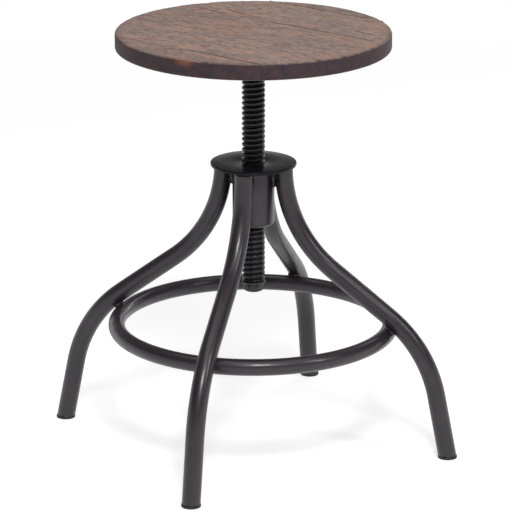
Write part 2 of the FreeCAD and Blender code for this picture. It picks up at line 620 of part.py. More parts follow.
def foot_plug(label, bearing):
    """Plastic plug: a level rim under the tube, and a shank that leans with the leg."""
    body = new_body(label, bearing)
    half = new_sketch(body, "XZ_Plane")
    out = f"({LEG_BORE} / 2 - {PLUG_CLEARANCE})"
    top = f"({PLUG_RIM} + {PLUG_LENGTH})"
    axis_top = (f"({FOOT_RADIUS} - {top} * sin({LEG_SPLAY}))", f"({top} * cos({LEG_SPLAY}))")
    side_top = (
        f"{axis_top[0]} - {out} * cos({LEG_SPLAY})",
        f"{axis_top[1]} - {out} * sin({LEG_SPLAY})",
    )
    side_foot = (
        f"{FOOT_RADIUS} - {out} * cos({LEG_SPLAY})",
        f"-{out} * sin({LEG_SPLAY})",
    )
    polygon(half, [(FOOT_RADIUS, "0"), axis_top, side_top, side_foot])
    shank = body.newObject("PartDesign::Revolution", "Shank")
    shank.Profile = half
    shank.ReferenceAxis = (half, ["Edge1"])
    shank.Angle = FULL_TURN
    rim_outline = new_sketch(body, "XY_Plane")
    circle(rim_outline, PLUG_FLANGE, f"({FOOT_RADIUS} - {PLUG_RIM} * tan({LEG_SPLAY}) / 2)")
    rim = pad(body, rim_outline, PLUG_RIM)
    level_foot(body, "0")
    round_edges(body, body.Tip, PLUG_ROUNDING, is_arc_of(f"{PLUG_FLANGE} / 2"))


for corner, bearing in LEG_BEARINGS.items():
    bent_leg(f"{corner}_leg", bearing)
    foot_plug(f"{corner}_plug", bearing)

# Foot ring: one tube rolled to a circle that touches the inside of all four legs
ring = new_body("foot_ring")
ring_section = new_sketch(ring, "XZ_Plane")
circle(ring_section, RING_TUBE, RING_RADIUS, RING_HEIGHT)
circle(ring_section, f"{RING_TUBE} - 2 * {RING_WALL}", RING_RADIUS, RING_HEIGHT)
revolve(ring, ring_section)


def local_torus(label, bearing, out, height, bend, tube):
    """The outside of a bent tube as a solid torus, standing in the plane of a bearing."""
    torus = doc.addObject("Part::Torus", label)
    across = FreeCAD.Rotation(Vector(1, 0, 0), 90)
    torus.Placement = turned(bearing) * FreeCAD.Placement(Vector(), across)
    torus.setExpression("Radius1", bend)
    torus.setExpression("Radius2", f"{tube} / 2")
    torus.setExpression("Placement.Base.x", f"{out} * cos({bearing})")
    torus.setExpression("Placement.Base.y", f"{out} * sin({bearing})")
    torus.setExpression("Placement.Base.z", height)
    return torus


def bead(label, bearing, semi_axes, out, height, neighbours):
    """A lump of weld centred in a gap and cut to the pieces that it joins."""
    lump = doc.addObject("Part::Ellipsoid", f"{label}_lump")
    lump.Placement = turned(bearing)
    for name, length in zip(("Radius2", "Radius3", "Radius1"), semi_axes):
        lump.setExpression(name, length)
    lump.setExpression("Placement.Base.x", f"{out} * cos({bearing})")
    lump.setExpression("Placement.Base.y", f"{out} * sin({bearing})")
    lump.setExpression("Placement.Base.z", height)
    for neighbour in neighbours:
        cut = doc.addObject("Part::Cut", f"{label}_cut")
        cut.Base = lump
        cut.Tool = neighbour
        lump = cut
    return lump


# Solid outlines of the hub, the plate and the ring, to which the beads are cut. The plate's is
# far thicker and wider than the plate, so that no bead stands above its underside.
hub_core = doc.addObject("Part::Cylinder", "hub_core")
hub_core.setExpression("Radius", f"{HUB_DIAMETER} / 2")
hub_core.setExpression("Height", PLATE_UNDERSIDE)
plate_core = doc.addObject("Part::Cylinder", "plate_core")
plate_core.setExpression("Radius", PLATE_DIAMETER)
plate_core.setExpression("Height", PLATE_DIAMETER)
plate_core.setExpression("Placement.Base.z", PLATE_UNDERSIDE)
ring_core = doc.addObject("Part::Torus", "ring_core")
ring_core.setExpression("Radius1", RING_RADIUS)
ring_core.setExpression("Radius2", f"{RING_TUBE} / 2")
ring_core.setExpression("Placement.Base.z", RING_HEIGHT)

BEAD_RADIUS = f"({HUB_DIAMETER} / 2 + {LEG_GAP} / 2)"
UPPER_BEND_OUT = f"({LEG_TOP_RADIUS} + {UPPER_BEND})"
TOUCH = f"atan(({RING_HEIGHT} - {BEND_HEIGHT}) / ({RING_RADIUS} - {BEND_RADIUS_OUT}))"
TOUCH_DISTANCE = f"({LOWER_BEND} - {LEG_DIAMETER} / 2 - {RING_GAP} / 2)"
hub_beads = []
ring_beads = []
for corner, bearing in LEG_BEARINGS.items():
    upper = local_torus(
        f"{corner}_upper_bend", bearing, UPPER_BEND_OUT, PLATE_UNDERSIDE, UPPER_BEND, LEG_DIAMETER
    )
    lower = local_torus(
        f"{corner}_lower_bend", bearing, BEND_RADIUS_OUT, BEND_HEIGHT, LOWER_BEND, LEG_DIAMETER
    )
    half_length = f"{HUB_BEAD_LENGTH} - {HUB_BEAD_DROP}"
    semi_axes = (f"{HUB_BEAD_DEPTH} / 2", f"{HUB_BEAD_WIDTH} / 2", half_length)
    height = f"{PLATE_UNDERSIDE} - {HUB_BEAD_DROP}"
    neighbours = [plate_core, hub_core, upper]
    hub_beads.append(
        bead(f"{corner}_hub_bead", bearing, semi_axes, BEAD_RADIUS, height, neighbours)
    )
    semi_axes = (f"{RING_BEAD_DEPTH} / 2", f"{RING_BEAD_WIDTH} / 2", f"{RING_BEAD_WIDTH} / 2")
    out = f"({BEND_RADIUS_OUT} + {TOUCH_DISTANCE} * cos({TOUCH}))"
    height = f"{BEND_HEIGHT} + {TOUCH_DISTANCE} * sin({TOUCH})"
    ring_beads.append(
        bead(f"{corner}_ring_bead", bearing, semi_axes, out, height, [lower, ring_core])
    )
compound("hub_welds", hub_beads)
compound("ring_welds", ring_beads)

doc.recompute()

NODES = [f"seat_board_{number}" for number in range(1, 6)]
NODES += ["seat_flange", "flange_screws", "flange_weld", "lead_screw", "stop_washer", "stop_bolt"]
NODES += ["top_plate", "hub_sleeve", "screw_nut", "hub_welds", "foot_ring", "ring_welds"]
NODES += [f"{corner}_{kind}" for corner in LEG_BEARINGS for kind in ("leg", "plug")]

for item in doc.Objects:
    if "Invalid" in item.State or "Error" in item.State:
        raise RuntimeError(f"{item.Label} failed: {item.State}")
os.makedirs("parts", exist_ok=True)
for node in NODES:
    shape = doc.getObject(node).Shape
    if shape.isNull() or not shape.isValid():
        raise RuntimeError(f"{node} has no valid shape")
for node in NODES:
    shape = doc.getObject(node).Shape
    shape.exportStep(f"parts/{node}.step")
    box = shape.optimalBoundingBox(False)
    heights = f"z {box.ZMin:.1f} to {box.ZMax:.1f} mm"
    print(f"{node}: {len(shape.Solids)} solids, {shape.Volume:.0f} mm3, {heights}")
print(f"feet on a circle of radius {value(FOOT_RADIUS):.1f} mm")
print(f"foot ring's centre line on a circle of radius {value(RING_RADIUS):.1f} mm")
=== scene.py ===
"""Machinist stool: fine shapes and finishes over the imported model, in metres, +Z up.

The sections follow the stool as it is put together, from its four legs up to the seat.
"""

import bmesh
import bpy
import numpy as np
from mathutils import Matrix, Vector


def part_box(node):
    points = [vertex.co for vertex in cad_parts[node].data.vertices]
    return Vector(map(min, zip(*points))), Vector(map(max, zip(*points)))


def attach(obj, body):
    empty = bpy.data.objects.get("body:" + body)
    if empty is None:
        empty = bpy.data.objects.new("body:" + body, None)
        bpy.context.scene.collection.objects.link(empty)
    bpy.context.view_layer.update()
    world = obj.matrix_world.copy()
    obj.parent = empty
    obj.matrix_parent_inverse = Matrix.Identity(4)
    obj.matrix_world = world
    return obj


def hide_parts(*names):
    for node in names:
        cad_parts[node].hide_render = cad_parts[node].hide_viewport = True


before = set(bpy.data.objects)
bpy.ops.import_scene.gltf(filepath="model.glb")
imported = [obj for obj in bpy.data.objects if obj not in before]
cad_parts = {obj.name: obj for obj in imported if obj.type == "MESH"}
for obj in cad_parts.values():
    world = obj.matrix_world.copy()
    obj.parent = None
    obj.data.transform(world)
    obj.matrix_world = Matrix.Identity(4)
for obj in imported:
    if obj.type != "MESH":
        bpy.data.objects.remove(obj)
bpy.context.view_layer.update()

MM = 0.001

# Legs. Each is one steel tube, bent out under the plate and back above the foot.
# The cold bends leave the tube slightly flattened, and its lower end is sawn level.
# They are painted a satin brown-black after welding.
LEG_BEARINGS = {"front_left": -135, "front_right": -45, "back_right": 45, "back_left": 135}
LEG_RADIUS = 11.1 * MM
LEG_WALL = 1.5 * MM
HUB_RADIUS = 25.4 * MM
LEG_GAP = 1.6 * MM
LEG_TOP_OUT = HUB_RADIUS + LEG_GAP + LEG_RADIUS
PLATE_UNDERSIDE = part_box("hub_sleeve")[1].z
UPPER_BEND = 154 * MM
LOWER_BEND = 156.7 * MM
LEG_STRAIGHT = 88.7 * MM
LEG_SLOPE = np.radians(53.3)
LEG_SPLAY = np.radians(11.3)
PLUG_RIM = 3 * MM
BEND_FLATTENING = 0.012
PEEL_DEPTH = 0.12 * MM
LACQUER_ROUGHNESS = 0.13


def grid_piece(name, points, wrap_rows=False, wrap_columns=True):
    """A smooth mesh over a grid of points, rows by columns. Either way round may close on itself.
    Corners that fall together, as at a pole, are merged, and the faces are made to look outwards."""
    rows, columns = points.shape[:2]
    index = np.arange(rows * columns).reshape(rows, columns)
    if wrap_rows:
        index = np.vstack([index, index[:1]])
    if wrap_columns:
        index = np.hstack([index, index[:, :1]])
    quads = np.stack([index[:-1, :-1], index[:-1, 1:], index[1:, 1:], index[1:, :-1]], axis=-1)
    return mesh_piece(name, points.reshape(-1, 3), quads.reshape(-1, 4))


def mesh_piece(name, points, faces, **marks):
    """A mesh object from points and quads, with doubled corners merged and faces looking outwards.
    marks are named arrays with one number for each point, which a material reads as attributes."""
    mesh = bpy.data.meshes.new(name)
    mesh.from_pydata(points.tolist(), [], faces.tolist())
    for mark, values in marks.items():
        mesh.attributes.new(mark, "FLOAT", "POINT").data.foreach_set("value", values.astype(np.float32))
    work = bmesh.new()
    work.from_mesh(mesh)
    bmesh.ops.remove_doubles(work, verts=work.verts, dist=1e-6)
    bmesh.ops.dissolve_degenerate(work, edges=work.edges, dist=1e-7)
    bmesh.ops.recalc_face_normals(work, faces=work.faces)
    work.to_mesh(mesh)
    work.free()
    mesh.polygons.foreach_set("use_smooth", np.ones(len(mesh.polygons), bool))
    piece = bpy.data.objects.new(name, mesh)
    bpy.context.scene.collection.objects.link(piece)
    return piece


def arc(centre, radius, start, end, count):
    """Points along an arc: centre plus radius times (cos, sin) of an angle that runs evenly from start
    to end."""
    angle = np.linspace(start, end, count)
    return np.stack([centre[0] + radius * np.cos(angle), centre[1] + radius * np.sin(angle)], -1)


def leg_line():
    """The leg's centre line as (distance out, height): an arc, a straight, the arc back and a straight.
    Each is tangent to the next, and the last meets the floor."""
    upper_centre = (LEG_TOP_OUT + UPPER_BEND, PLATE_UNDERSIDE)
    bend_out = arc(upper_centre, UPPER_BEND, np.pi, np.pi + LEG_SLOPE, 40)
    heading = np.array([np.sin(LEG_SLOPE), -np.cos(LEG_SLOPE)])
    lower_start = bend_out[-1] + LEG_STRAIGHT * heading
    lower_centre = lower_start - LOWER_BEND * np.array([np.cos(LEG_SLOPE), np.sin(LEG_SLOPE)])
    straight = bend_out[-1] + np.linspace(0, 1, 22)[1:-1, None] * (lower_start - bend_out[-1])
    bend_back = arc(lower_centre, LOWER_BEND, LEG_SLOPE, LEG_SPLAY, 36)
    foot_out = bend_back[-1][0] + bend_back[-1][1] * np.tan(LEG_SPLAY)
    foot = np.array([foot_out, 0])
    shin = bend_back[-1] + np.linspace(0, 1, 30)[1:, None] * (foot - bend_back[-1])
    return np.vstack([bend_out, straight, bend_back, shin])


def leg_wall(line, radius, around):
    """Rings of a tube round the centre line. At each station the ring is centre + r (cos a across +
    sin a up), where across is the part's Y and up is square to the heading in the leg's own plane.
    A bend narrows the ring in its own plane and widens it across by the same share. The last ring is
    slid along the heading to the level where the tube is sawn."""
    heading = np.gradient(line, axis=0)
    heading /= np.linalg.norm(heading, axis=1, keepdims=True)
    turn = np.abs(np.gradient(np.arctan2(heading[:, 1], heading[:, 0])))
    flat = BEND_FLATTENING * np.convolve(turn / turn.max(), np.ones(9) / 9, mode="same")
    angle = np.linspace(0, 2 * np.pi, around, endpoint=False)
    across = radius * np.cos(angle)[None] * (1 + flat[:, None])
    up = radius * np.sin(angle)[None] * (1 - flat[:, None])
    out = line[:, :1] - heading[:, 1:] * up
    height = line[:, 1:] + heading[:, :1] * up
    rings = np.stack([out, np.broadcast_to(across, out.shape), height], axis=-1)
    last = rings[-1]
    slide = (PLUG_RIM - last[:, 2]) / heading[-1, 1]
    last[:, 0] += slide * heading[-1, 0]
    last[:, 2] = PLUG_RIM
    return rings


def turned(points, bearing):
    """The points turned about the stool's axis by a bearing in degrees."""
    angle = np.radians(bearing)
    cosine, sine = np.cos(angle), np.sin(angle)
    x, y, z = points[..., 0], points[..., 1], points[..., 2]
    return np.stack([cosine * x - sine * y, sine * x + cosine * y, z], axis=-1)


def math(tree, operation, first, second=0.0):
    """One step of arithmetic on a value."""
    made = tree.nodes.new("ShaderNodeMath")
    made.operation = operation
    for socket, value in zip(made.inputs, (first, second)):
        if isinstance(value, bpy.types.NodeSocket):
            tree.links.new(value, socket)
        else:
            socket.default_value = value
    return made.outputs[0]


def mix(tree, share, first, second):
    """A colour between two colours."""
    made = tree.nodes.new("ShaderNodeMix")
    made.data_type = "RGBA"
    for socket, value in ((made.inputs[0], share), (made.inputs[6], first), (made.inputs[7], second)):
        if isinstance(value, bpy.types.NodeSocket):
            tree.links.new(value, socket)
        else:
            socket.default_value = value
    return made.outputs[2]


def noise(tree, vector, size, detail=4.0, roughness=0.5):
    """Noise whose lumps are about size metres across."""
    made = tree.nodes.new("ShaderNodeTexNoise")
    made.inputs["Scale"].default_value = 1 / size
    made.inputs["Detail"].default_value = detail
    made.inputs["Roughness"].default_value = roughness
    tree.links.new(vector, made.inputs["Vector"])
    return made.outputs["Fac"]


def between(tree, value, low, high, to_low=0.0, to_high=1.0):
    """A value stretched from one span to another and held inside it."""
    made = tree.nodes.new("ShaderNodeMapRange")
    tree.links.new(value, made.inputs["Value"])
    for name, number in (("From Min", low), ("From Max", high), ("To Min", to_low), ("To Max", to_high)):
        made.inputs[name].default_value = number
    return made.outputs["Result"]


def object_place(tree):
    """The place on the object, in its own coordinates."""
    return tree.nodes.new("ShaderNodeTexCoord").outputs["Object"]


def paint_group():
    """Sprayed satin paint: cloudy thickness, fine orange peel, and a few duller rubbed places."""
    tree = bpy.data.node_groups.new("sprayed_paint", "ShaderNodeTree")
    face = tree.interface
    face.new_socket("Colour", in_out="INPUT", socket_type="NodeSocketColor")
    face.new_socket("Cloud", in_out="INPUT", socket_type="NodeSocketColor")
    face.new_socket("Gloss", in_out="INPUT", socket_type="NodeSocketFloat")
    face.new_socket("Peel", in_out="INPUT", socket_type="NodeSocketFloat")
    face.new_socket("Colour", in_out="OUTPUT", socket_type="NodeSocketColor")
    face.new_socket("Roughness", in_out="OUTPUT", socket_type="NodeSocketFloat")
    face.new_socket("Normal", in_out="OUTPUT", socket_type="NodeSocketVector")
    given = tree.nodes.new("NodeGroupInput").outputs
    result = tree.nodes.new("NodeGroupOutput").inputs
    place = object_place(tree)
    clouds = between(tree, noise(tree, place, 0.045, 5, 0.6), 0.35, 0.68)
    tree.links.new(mix(tree, clouds, given["Colour"], given["Cloud"]), result["Colour"])
    rubbed = between(tree, noise(tree, place, 0.012, 6, 0.65), 0.45, 0.75, -0.03, 0.09)
    tree.links.new(math(tree, "ADD", given["Gloss"], rubbed), result["Roughness"])
    peel = noise(tree, place, 0.0016, 2, 0.5)
    waves = noise(tree, place, 0.014, 2, 0.5)
    height = math(tree, "ADD", peel, math(tree, "MULTIPLY", waves, 3.0))
    bump = tree.nodes.new("ShaderNodeBump")
    bump.inputs["Distance"].default_value = PEEL_DEPTH
    tree.links.new(given["Peel"], bump.inputs["Strength"])
    tree.links.new(height, bump.inputs["Height"])
    tree.links.new(bump.outputs["Normal"], result["Normal"])
    return tree


SPRAYED = paint_group()


def new_material(name):
    """A new material with its node tree and its shader."""
    material = bpy.data.materials.new(name)
    material.use_nodes = True
    shader = material.node_tree.nodes["Principled BSDF"]
    return material, material.node_tree, shader


def painted(name, colour, cloud, gloss, peel=0.35, specular=0.5, coat=0.0):
    """Painted steel. colour and cloud are the thin and the thick places, gloss is the roughness, and
    coat is how much clear, glossier lacquer lies over it."""
    material, tree, shader = new_material(name)
    paint = tree.nodes.new("ShaderNodeGroup")
    paint.node_tree = SPRAYED
    paint.inputs["Colour"].default_value = (*colour, 1)
    paint.inputs["Cloud"].default_value = (*cloud, 1)
    paint.inputs["Gloss"].default_value = gloss
    paint.inputs["Peel"].default_value = peel
    tree.links.new(paint.outputs["Colour"], shader.inputs["Base Color"])
    tree.links.new(paint.outputs["Roughness"], shader.inputs["Roughness"])
    tree.links.new(paint.outputs["Normal"], shader.inputs["Normal"])
    shader.inputs["Specular IOR Level"].default_value = specular
    shader.inputs["Coat Weight"].default_value = coat
    shader.inputs["Coat Roughness"].default_value = LACQUER_ROUGHNESS
    return material


BROWN_BLACK = (0.018, 0.012, 0.017)
BROWN_BLACK_THICK = (0.029, 0.0205, 0.028)
frame_paint = painted("frame_paint", BROWN_BLACK, BROWN_BLACK_THICK, 0.38, 0.3, 0.42, 0.25)


def fit(piece, body, slot, material, *nodes):
    """Gives a finished piece its material and its body, and hides the nodes it stands for; its slot is not
    used.
    """
    piece.data.materials.append(material)
    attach(piece, body)
    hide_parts(*nodes)
    return piece


line = leg_line()
outside = leg_wall(line, LEG_RADIUS, 64)
inside = leg_wall(line, LEG_RADIUS - LEG_WALL, 64)
for corner, bearing in LEG_BEARINGS.items():
    tube = turned(np.concatenate([outside, inside[::-1]]), bearing)
    leg = grid_piece(f"{corner}_tube", tube, wrap_rows=True)
    fit(leg, "base", "frame_paint", frame_paint, f"{corner}_leg")

# Foot ring. One tube rolled to a circle and butt-welded, with its seam ground flush.
# It touches the inside of the four legs and is painted with them.
ring_low, ring_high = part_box("foot_ring")
RING_TUBE = (ring_high.z - ring_low.z) / 2
RING_RADIUS = ring_high.x - RING_TUBE
RING_HEIGHT = (ring_high.z + ring_low.z) / 2


def rolled_ring(radius, height, tube, rings, around):
    """A torus: the point at angle a round the ring and b round the tube is (radius + tube cos b)
    times (cos a, sin a), at height + tube sin b."""
    a = np.linspace(0, 2 * np.pi, rings, endpoint=False)[:, None]
    b = np.linspace(0, 2 * np.pi, around, endpoint=False)[None]
    out = radius + tube * np.cos(b) + 0 * a
    return np.stack([out * np.cos(a), out * np.sin(a), height + tube * np.sin(b) + 0 * a], axis=-1)


ring = grid_piece("rolled_foot_ring", rolled_ring(RING_RADIUS, RING_HEIGHT, RING_TUBE, 256, 56), True)
fit(ring, "base", "frame_paint", frame_paint, "foot_ring")

# Hub sleeve. A heavy steel tube, turned square and chamfered at its lower edge.
# The legs are welded to its outside and the nut sits in its bore.
HUB_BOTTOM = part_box("hub_sleeve")[0].z
HUB_CHAMFER = 2.8 * MM
HUB_BORE = 19.05 * MM
HUB_EASING = 0.8 * MM


def rings_of(profile, around):
    """A profile of (radius, height) pairs turned about an upright axis, as one ring of points for each."""
    profile = np.array(profile)
    angle = np.linspace(0, 2 * np.pi, around, endpoint=False)[None]
    radius, height = profile[:, :1], profile[:, 1:]
    return np.stack([radius * np.cos(angle), radius * np.sin(angle), height + 0 * angle], axis=-1)


def lathe(name, profile, around=128, closed=True):
    """A piece turned about the stool's axis from a profile of (radius, height) pairs."""
    return grid_piece(name, rings_of(profile, around), wrap_rows=closed)


def softened(corners, radius, steps=5):
    """The outline with each corner rounded: the corner is swapped for the points of a quadratic curve
    that leaves one side and joins the next at the given distance from the corner."""
    corners = np.array(corners)
    before = np.roll(corners, 1, axis=0) - corners
    after = np.roll(corners, -1, axis=0) - corners
    reach_before = np.minimum(radius / np.linalg.norm(before, axis=1), 0.45)[:, None]
    reach_after = np.minimum(radius / np.linalg.norm(after, axis=1), 0.45)[:, None]
    start, end = corners + before * reach_before, corners + after * reach_after
    t = np.linspace(0, 1, steps)[None, :, None]
    curve = (1 - t) ** 2 * start[:, None] + 2 * t * (1 - t) * corners[:, None] + t ** 2 * end[:, None]
    return curve.reshape(-1, 2)


sleeve_outline = [
    (HUB_BORE, HUB_BOTTOM),
    (HUB_RADIUS - HUB_CHAMFER, HUB_BOTTOM),
    (HUB_RADIUS, HUB_BOTTOM + HUB_CHAMFER),
    (HUB_RADIUS, PLATE_UNDERSIDE),
    (HUB_BORE, PLATE_UNDERSIDE),
]
sleeve = lathe("turned_hub_sleeve", softened(sleeve_outline, HUB_EASING))
fit(sleeve, "base", "frame_paint", frame_paint, "hub_sleeve")

# Round plate. A blanked steel disc welded over the sleeve and the leg tops, with its edge eased.
# It is painted a smoother, more neutral grey than the tubes.
plate_low, plate_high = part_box("top_plate")
PLATE_RADIUS = plate_high.x
PLATE_BORE = 14.3 * MM
PLATE_EASING = 1.3 * MM
plate_outline = [
    (PLATE_BORE, plate_low.z),
    (PLATE_RADIUS, plate_low.z),
    (PLATE_RADIUS, plate_high.z),
    (PLATE_BORE, plate_high.z),
]
plate = lathe("blanked_top_plate", softened(plate_outline, PLATE_EASING), 160)
plate_paint = painted("plate_paint", (0.007, 0.007, 0.008), (0.012, 0.012, 0.014), 0.22, 0.12, 0.12)
fit(plate, "base", "plate_paint", plate_paint, "top_plate")

# Lead screw. Black-oiled bar with a coarse right-hand thread, rolled to broad rounded crests.
# Its spigot is welded into the plate under the seat.
PITCH = 6.35 * MM
SCREW_RADIUS = 14 * MM
THREAD_DEPTH = 3 * MM
GROOVE_SHARE = 0.34
GROOVE_SHARPNESS = 1.3
RUN_OUT = 0.4 * PITCH
PLAIN_TOP = 8 * MM
SPIGOT_RADIUS = 10 * MM
SCREW_CHAMFER = 2 * MM
BOLT_HOLE = 7.1 * MM
BOLT_HOLE_DEPTH = 22 * MM
screw_low, screw_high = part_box("lead_screw")
FLANGE_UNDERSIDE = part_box("seat_flange")[0].z
THREAD_TOP = FLANGE_UNDERSIDE - PLAIN_TOP


def threaded_bar(around=72, per_turn=22):
    """The screw's skin: radius = crest - depth x groove. The phase is height / pitch - angle / full turn.
    The groove is a power of 1 - d / share, where d is how far the phase is from a whole number, and it
    is 0 past that share. It fades out at the neck, and the end is chamfered."""
    height = np.arange(screw_low.z, FLANGE_UNDERSIDE, PITCH / per_turn)
    height = np.append(height, FLANGE_UNDERSIDE)[:, None]
    angle = np.linspace(0, 2 * np.pi, around, endpoint=False)[None]
    phase = (height - screw_low.z) / PITCH - angle / (2 * np.pi)
    from_groove = np.abs((phase + 0.5) % 1 - 0.5)
    groove = np.clip(1 - from_groove / GROOVE_SHARE, 0, 1) ** GROOVE_SHARPNESS
    fade = np.clip((THREAD_TOP - height) / RUN_OUT, 0, 1)
    radius = SCREW_RADIUS - THREAD_DEPTH * groove * fade
    chamfer = SCREW_RADIUS - SCREW_CHAMFER + (height - screw_low.z)
    radius = np.minimum(radius, chamfer)
    skin = np.stack([radius * np.cos(angle), radius * np.sin(angle), height + 0 * angle], axis=-1)
    hole_top = screw_low.z + BOLT_HOLE_DEPTH
    hole = rings_of([(0, hole_top), (BOLT_HOLE, hole_top), (BOLT_HOLE, screw_low.z)], around)
    spigot = [(SPIGOT_RADIUS, FLANGE_UNDERSIDE), (SPIGOT_RADIUS, screw_high.z), (0, screw_high.z)]
    return grid_piece("coarse_lead_screw", np.concatenate([hole, skin, rings_of(spigot, around)]))


OIL_BLACK = (0.006, 0.005, 0.007)
OIL_BLACK_THICK = (0.012, 0.011, 0.014)
screw_black = painted("screw_black", OIL_BLACK, OIL_BLACK_THICK, 0.30, 0.5, 0.38)
fit(threaded_bar(), "seat", "screw_black", screw_black, "lead_screw")

# Stop washer and bolt. A loose washer that is wider than the nut's bore, held by a hexagon bolt
# in the screw's lower end. Both are blackened.
blackened_steel = painted("blackened_steel", (0.016, 0.016, 0.018), (0.030, 0.030, 0.032), 0.33, 0.5)
washer_low, washer_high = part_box("stop_washer")
WASHER_BORE = 7.5 * MM
WASHER_EASING = 0.8 * MM
WASHER_PLAY = 0.3 * MM
washer_outline = [
    (WASHER_BORE, washer_low.z),
    (washer_high.x, washer_low.z),
    (washer_high.x, washer_high.z),
    (WASHER_BORE, washer_high.z),
]
washer = lathe("loose_stop_washer", softened(washer_outline, WASHER_EASING), 96)
fit(washer, "stop_ring", "blackened_steel", blackened_steel, "stop_washer")

HEAD_FLATS = 22 * MM
HEAD_FACE = 20.6 * MM
HEAD_CHAMFER = np.pi / 6
BOLT_RADIUS = 7 * MM
BOLT_CHAMFER = 0.5 * MM
HEAD_EASING = 0.9 * MM
SHOULDER_STEP = 0.2 * MM


def hexagon_bolt(around=144):
    """The bolt from its head's face to its shank's end. The head's radius at an angle is half the width
    over flats divided by the cosine of the angle from the nearest flat's middle. A cone turns off the
    corners: radius may not pass a limit that grows with the height above the face."""
    low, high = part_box("stop_bolt")
    head_top = washer_low.z - WASHER_PLAY
    angle = np.linspace(0, 2 * np.pi, around, endpoint=False)[None]
    from_flat = (angle + np.pi / 6) % (np.pi / 3) - np.pi / 6
    hexagon = HEAD_FLATS / 2 / np.cos(from_flat)
    step = np.array([0, 0.5, 0.9, 1, 1.03, 1.08, 1.13, 1.18, 1.3, 1.3])[:, None]
    cone = HEAD_FACE / 2 * step
    rise = np.maximum(step - 1, 0) * HEAD_FACE / 2 * np.tan(HEAD_CHAMFER) + 0.3 * MM * (step > 0.95)
    rise[-1] += 3 * MM
    side = np.minimum(hexagon, cone)
    top_rise = head_top - low.z
    shoulder = np.minimum(hexagon, HEAD_FLATS / 2 - SHOULDER_STEP)
    rows = [(side, low.z + rise), (hexagon, low.z + top_rise - HEAD_EASING)]
    rows += [(shoulder, head_top), (BOLT_RADIUS + 0 * hexagon, head_top)]
    rows += [(BOLT_RADIUS + 0 * hexagon, high.z - BOLT_CHAMFER)]
    rows += [(BOLT_RADIUS - BOLT_CHAMFER + 0 * hexagon, high.z), (0 * hexagon, high.z)]
    parts = []
    for radius, height in rows:
        radius, height = np.broadcast_arrays(radius, height + 0 * angle)
        parts.append(np.stack([radius * np.cos(angle), radius * np.sin(angle), height], axis=-1))
    return grid_piece("hexagon_stop_bolt", np.concatenate(parts))


fit(hexagon_bolt(), "seat", "blackened_steel", blackened_steel, "stop_bolt")

# Nut. A blackened steel bush with the screw's thread cut through it.
# It is pressed into the sleeve and tacked there.
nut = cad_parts["screw_nut"]
nut.data.materials.clear()
nut.data.materials.append(blackened_steel)

# Weld beads. Rough lumps of weld in the corners under the plate, between the legs and the sleeve,
# and smaller ones where the foot ring touches the legs. They are painted over with the frame.
BEAD_HALF_WIDTH = 8.5 * MM
BEAD_HALF_DEPTH = 5.7 * MM
BEAD_HALF_LENGTH = 15.6 * MM
BEAD_DROP = 10.4 * MM
RIPPLE = 2.6 * MM


def smooth_noise(x, y, seed):
    """Soft random hills between -1 and 1, one unit apart: random numbers on a lattice, and between them
    a blend whose share is 3t squared - 2t cubed."""
    lattice = np.random.default_rng(seed).uniform(-1, 1, (64, 64))
    left, low = np.floor(x).astype(int), np.floor(y).astype(int)
    s, t = x - left, y - low
    s, t = s * s * (3 - 2 * s), t * t * (3 - 2 * t)

    def corner(i, j):
        return lattice[(left + i) % 64, (low + j) % 64]

    lower = corner(0, 0) * (1 - s) + corner(1, 0) * s
    upper = corner(0, 1) * (1 - s) + corner(1, 1) * s
    return lower * (1 - t) + upper * t


def lump(centre, half_sizes, seed, ripple_depth, rows=64, around=64):
    """An ellipsoid whose skin rises and falls: its size at a point is 1 + ripple x wave of the height,
    for the weld's overlapping puddles, + shares of coarse and of fine soft noise."""
    polar = np.linspace(0, np.pi, rows)[:, None]
    angle = np.linspace(0, 2 * np.pi, around, endpoint=False)[None]
    height = half_sizes[2] * np.cos(polar) + 0 * angle
    tilt = 0.8 * MM * np.cos(angle)
    puddle = np.abs(np.sin(np.pi * (height + tilt) / RIPPLE)) - 0.6
    wander = smooth_noise(3 * np.cos(angle) + 9, 6 * polar + 3 * np.sin(angle), seed)
    spatter = smooth_noise(7 * np.cos(angle) + 17, 14 * polar + 7 * np.sin(angle), seed + 40)
    size = 1 + ripple_depth * puddle + 0.16 * wander + 0.07 * spatter
    ring = np.sin(polar) * size
    return np.stack(
        [
            centre[0] + half_sizes[0] * ring * np.cos(angle),
            centre[1] + half_sizes[1] * ring * np.sin(angle),
            centre[2] + height,
        ],
        axis=-1,
    )


def joined(name, lumps):
    """One object from several closed grids of the same size."""
    parts = [grid_piece(f"{name}_{number}", points) for number, points in enumerate(lumps)]
    with bpy.context.temp_override(active_object=parts[0], selected_editable_objects=parts):
        bpy.ops.object.join()
    parts[0].name = name
    return parts[0]


weld_bead = painted("weld_bead", (0.012, 0.010, 0.011), (0.026, 0.022, 0.024), 0.26, 0.6)
hub_lumps = []
for number, bearing in enumerate(LEG_BEARINGS.values()):
    centre = (HUB_RADIUS + LEG_GAP / 2, 0, PLATE_UNDERSIDE - BEAD_DROP)
    points = lump(centre, (BEAD_HALF_DEPTH, BEAD_HALF_WIDTH, BEAD_HALF_LENGTH), number, 0.09)
    points[..., 2] = np.minimum(points[..., 2], PLATE_UNDERSIDE)
    hub_lumps.append(turned(points, bearing))
fit(joined("hub_weld_beads", hub_lumps), "base", "weld_bead", weld_bead, "hub_welds")

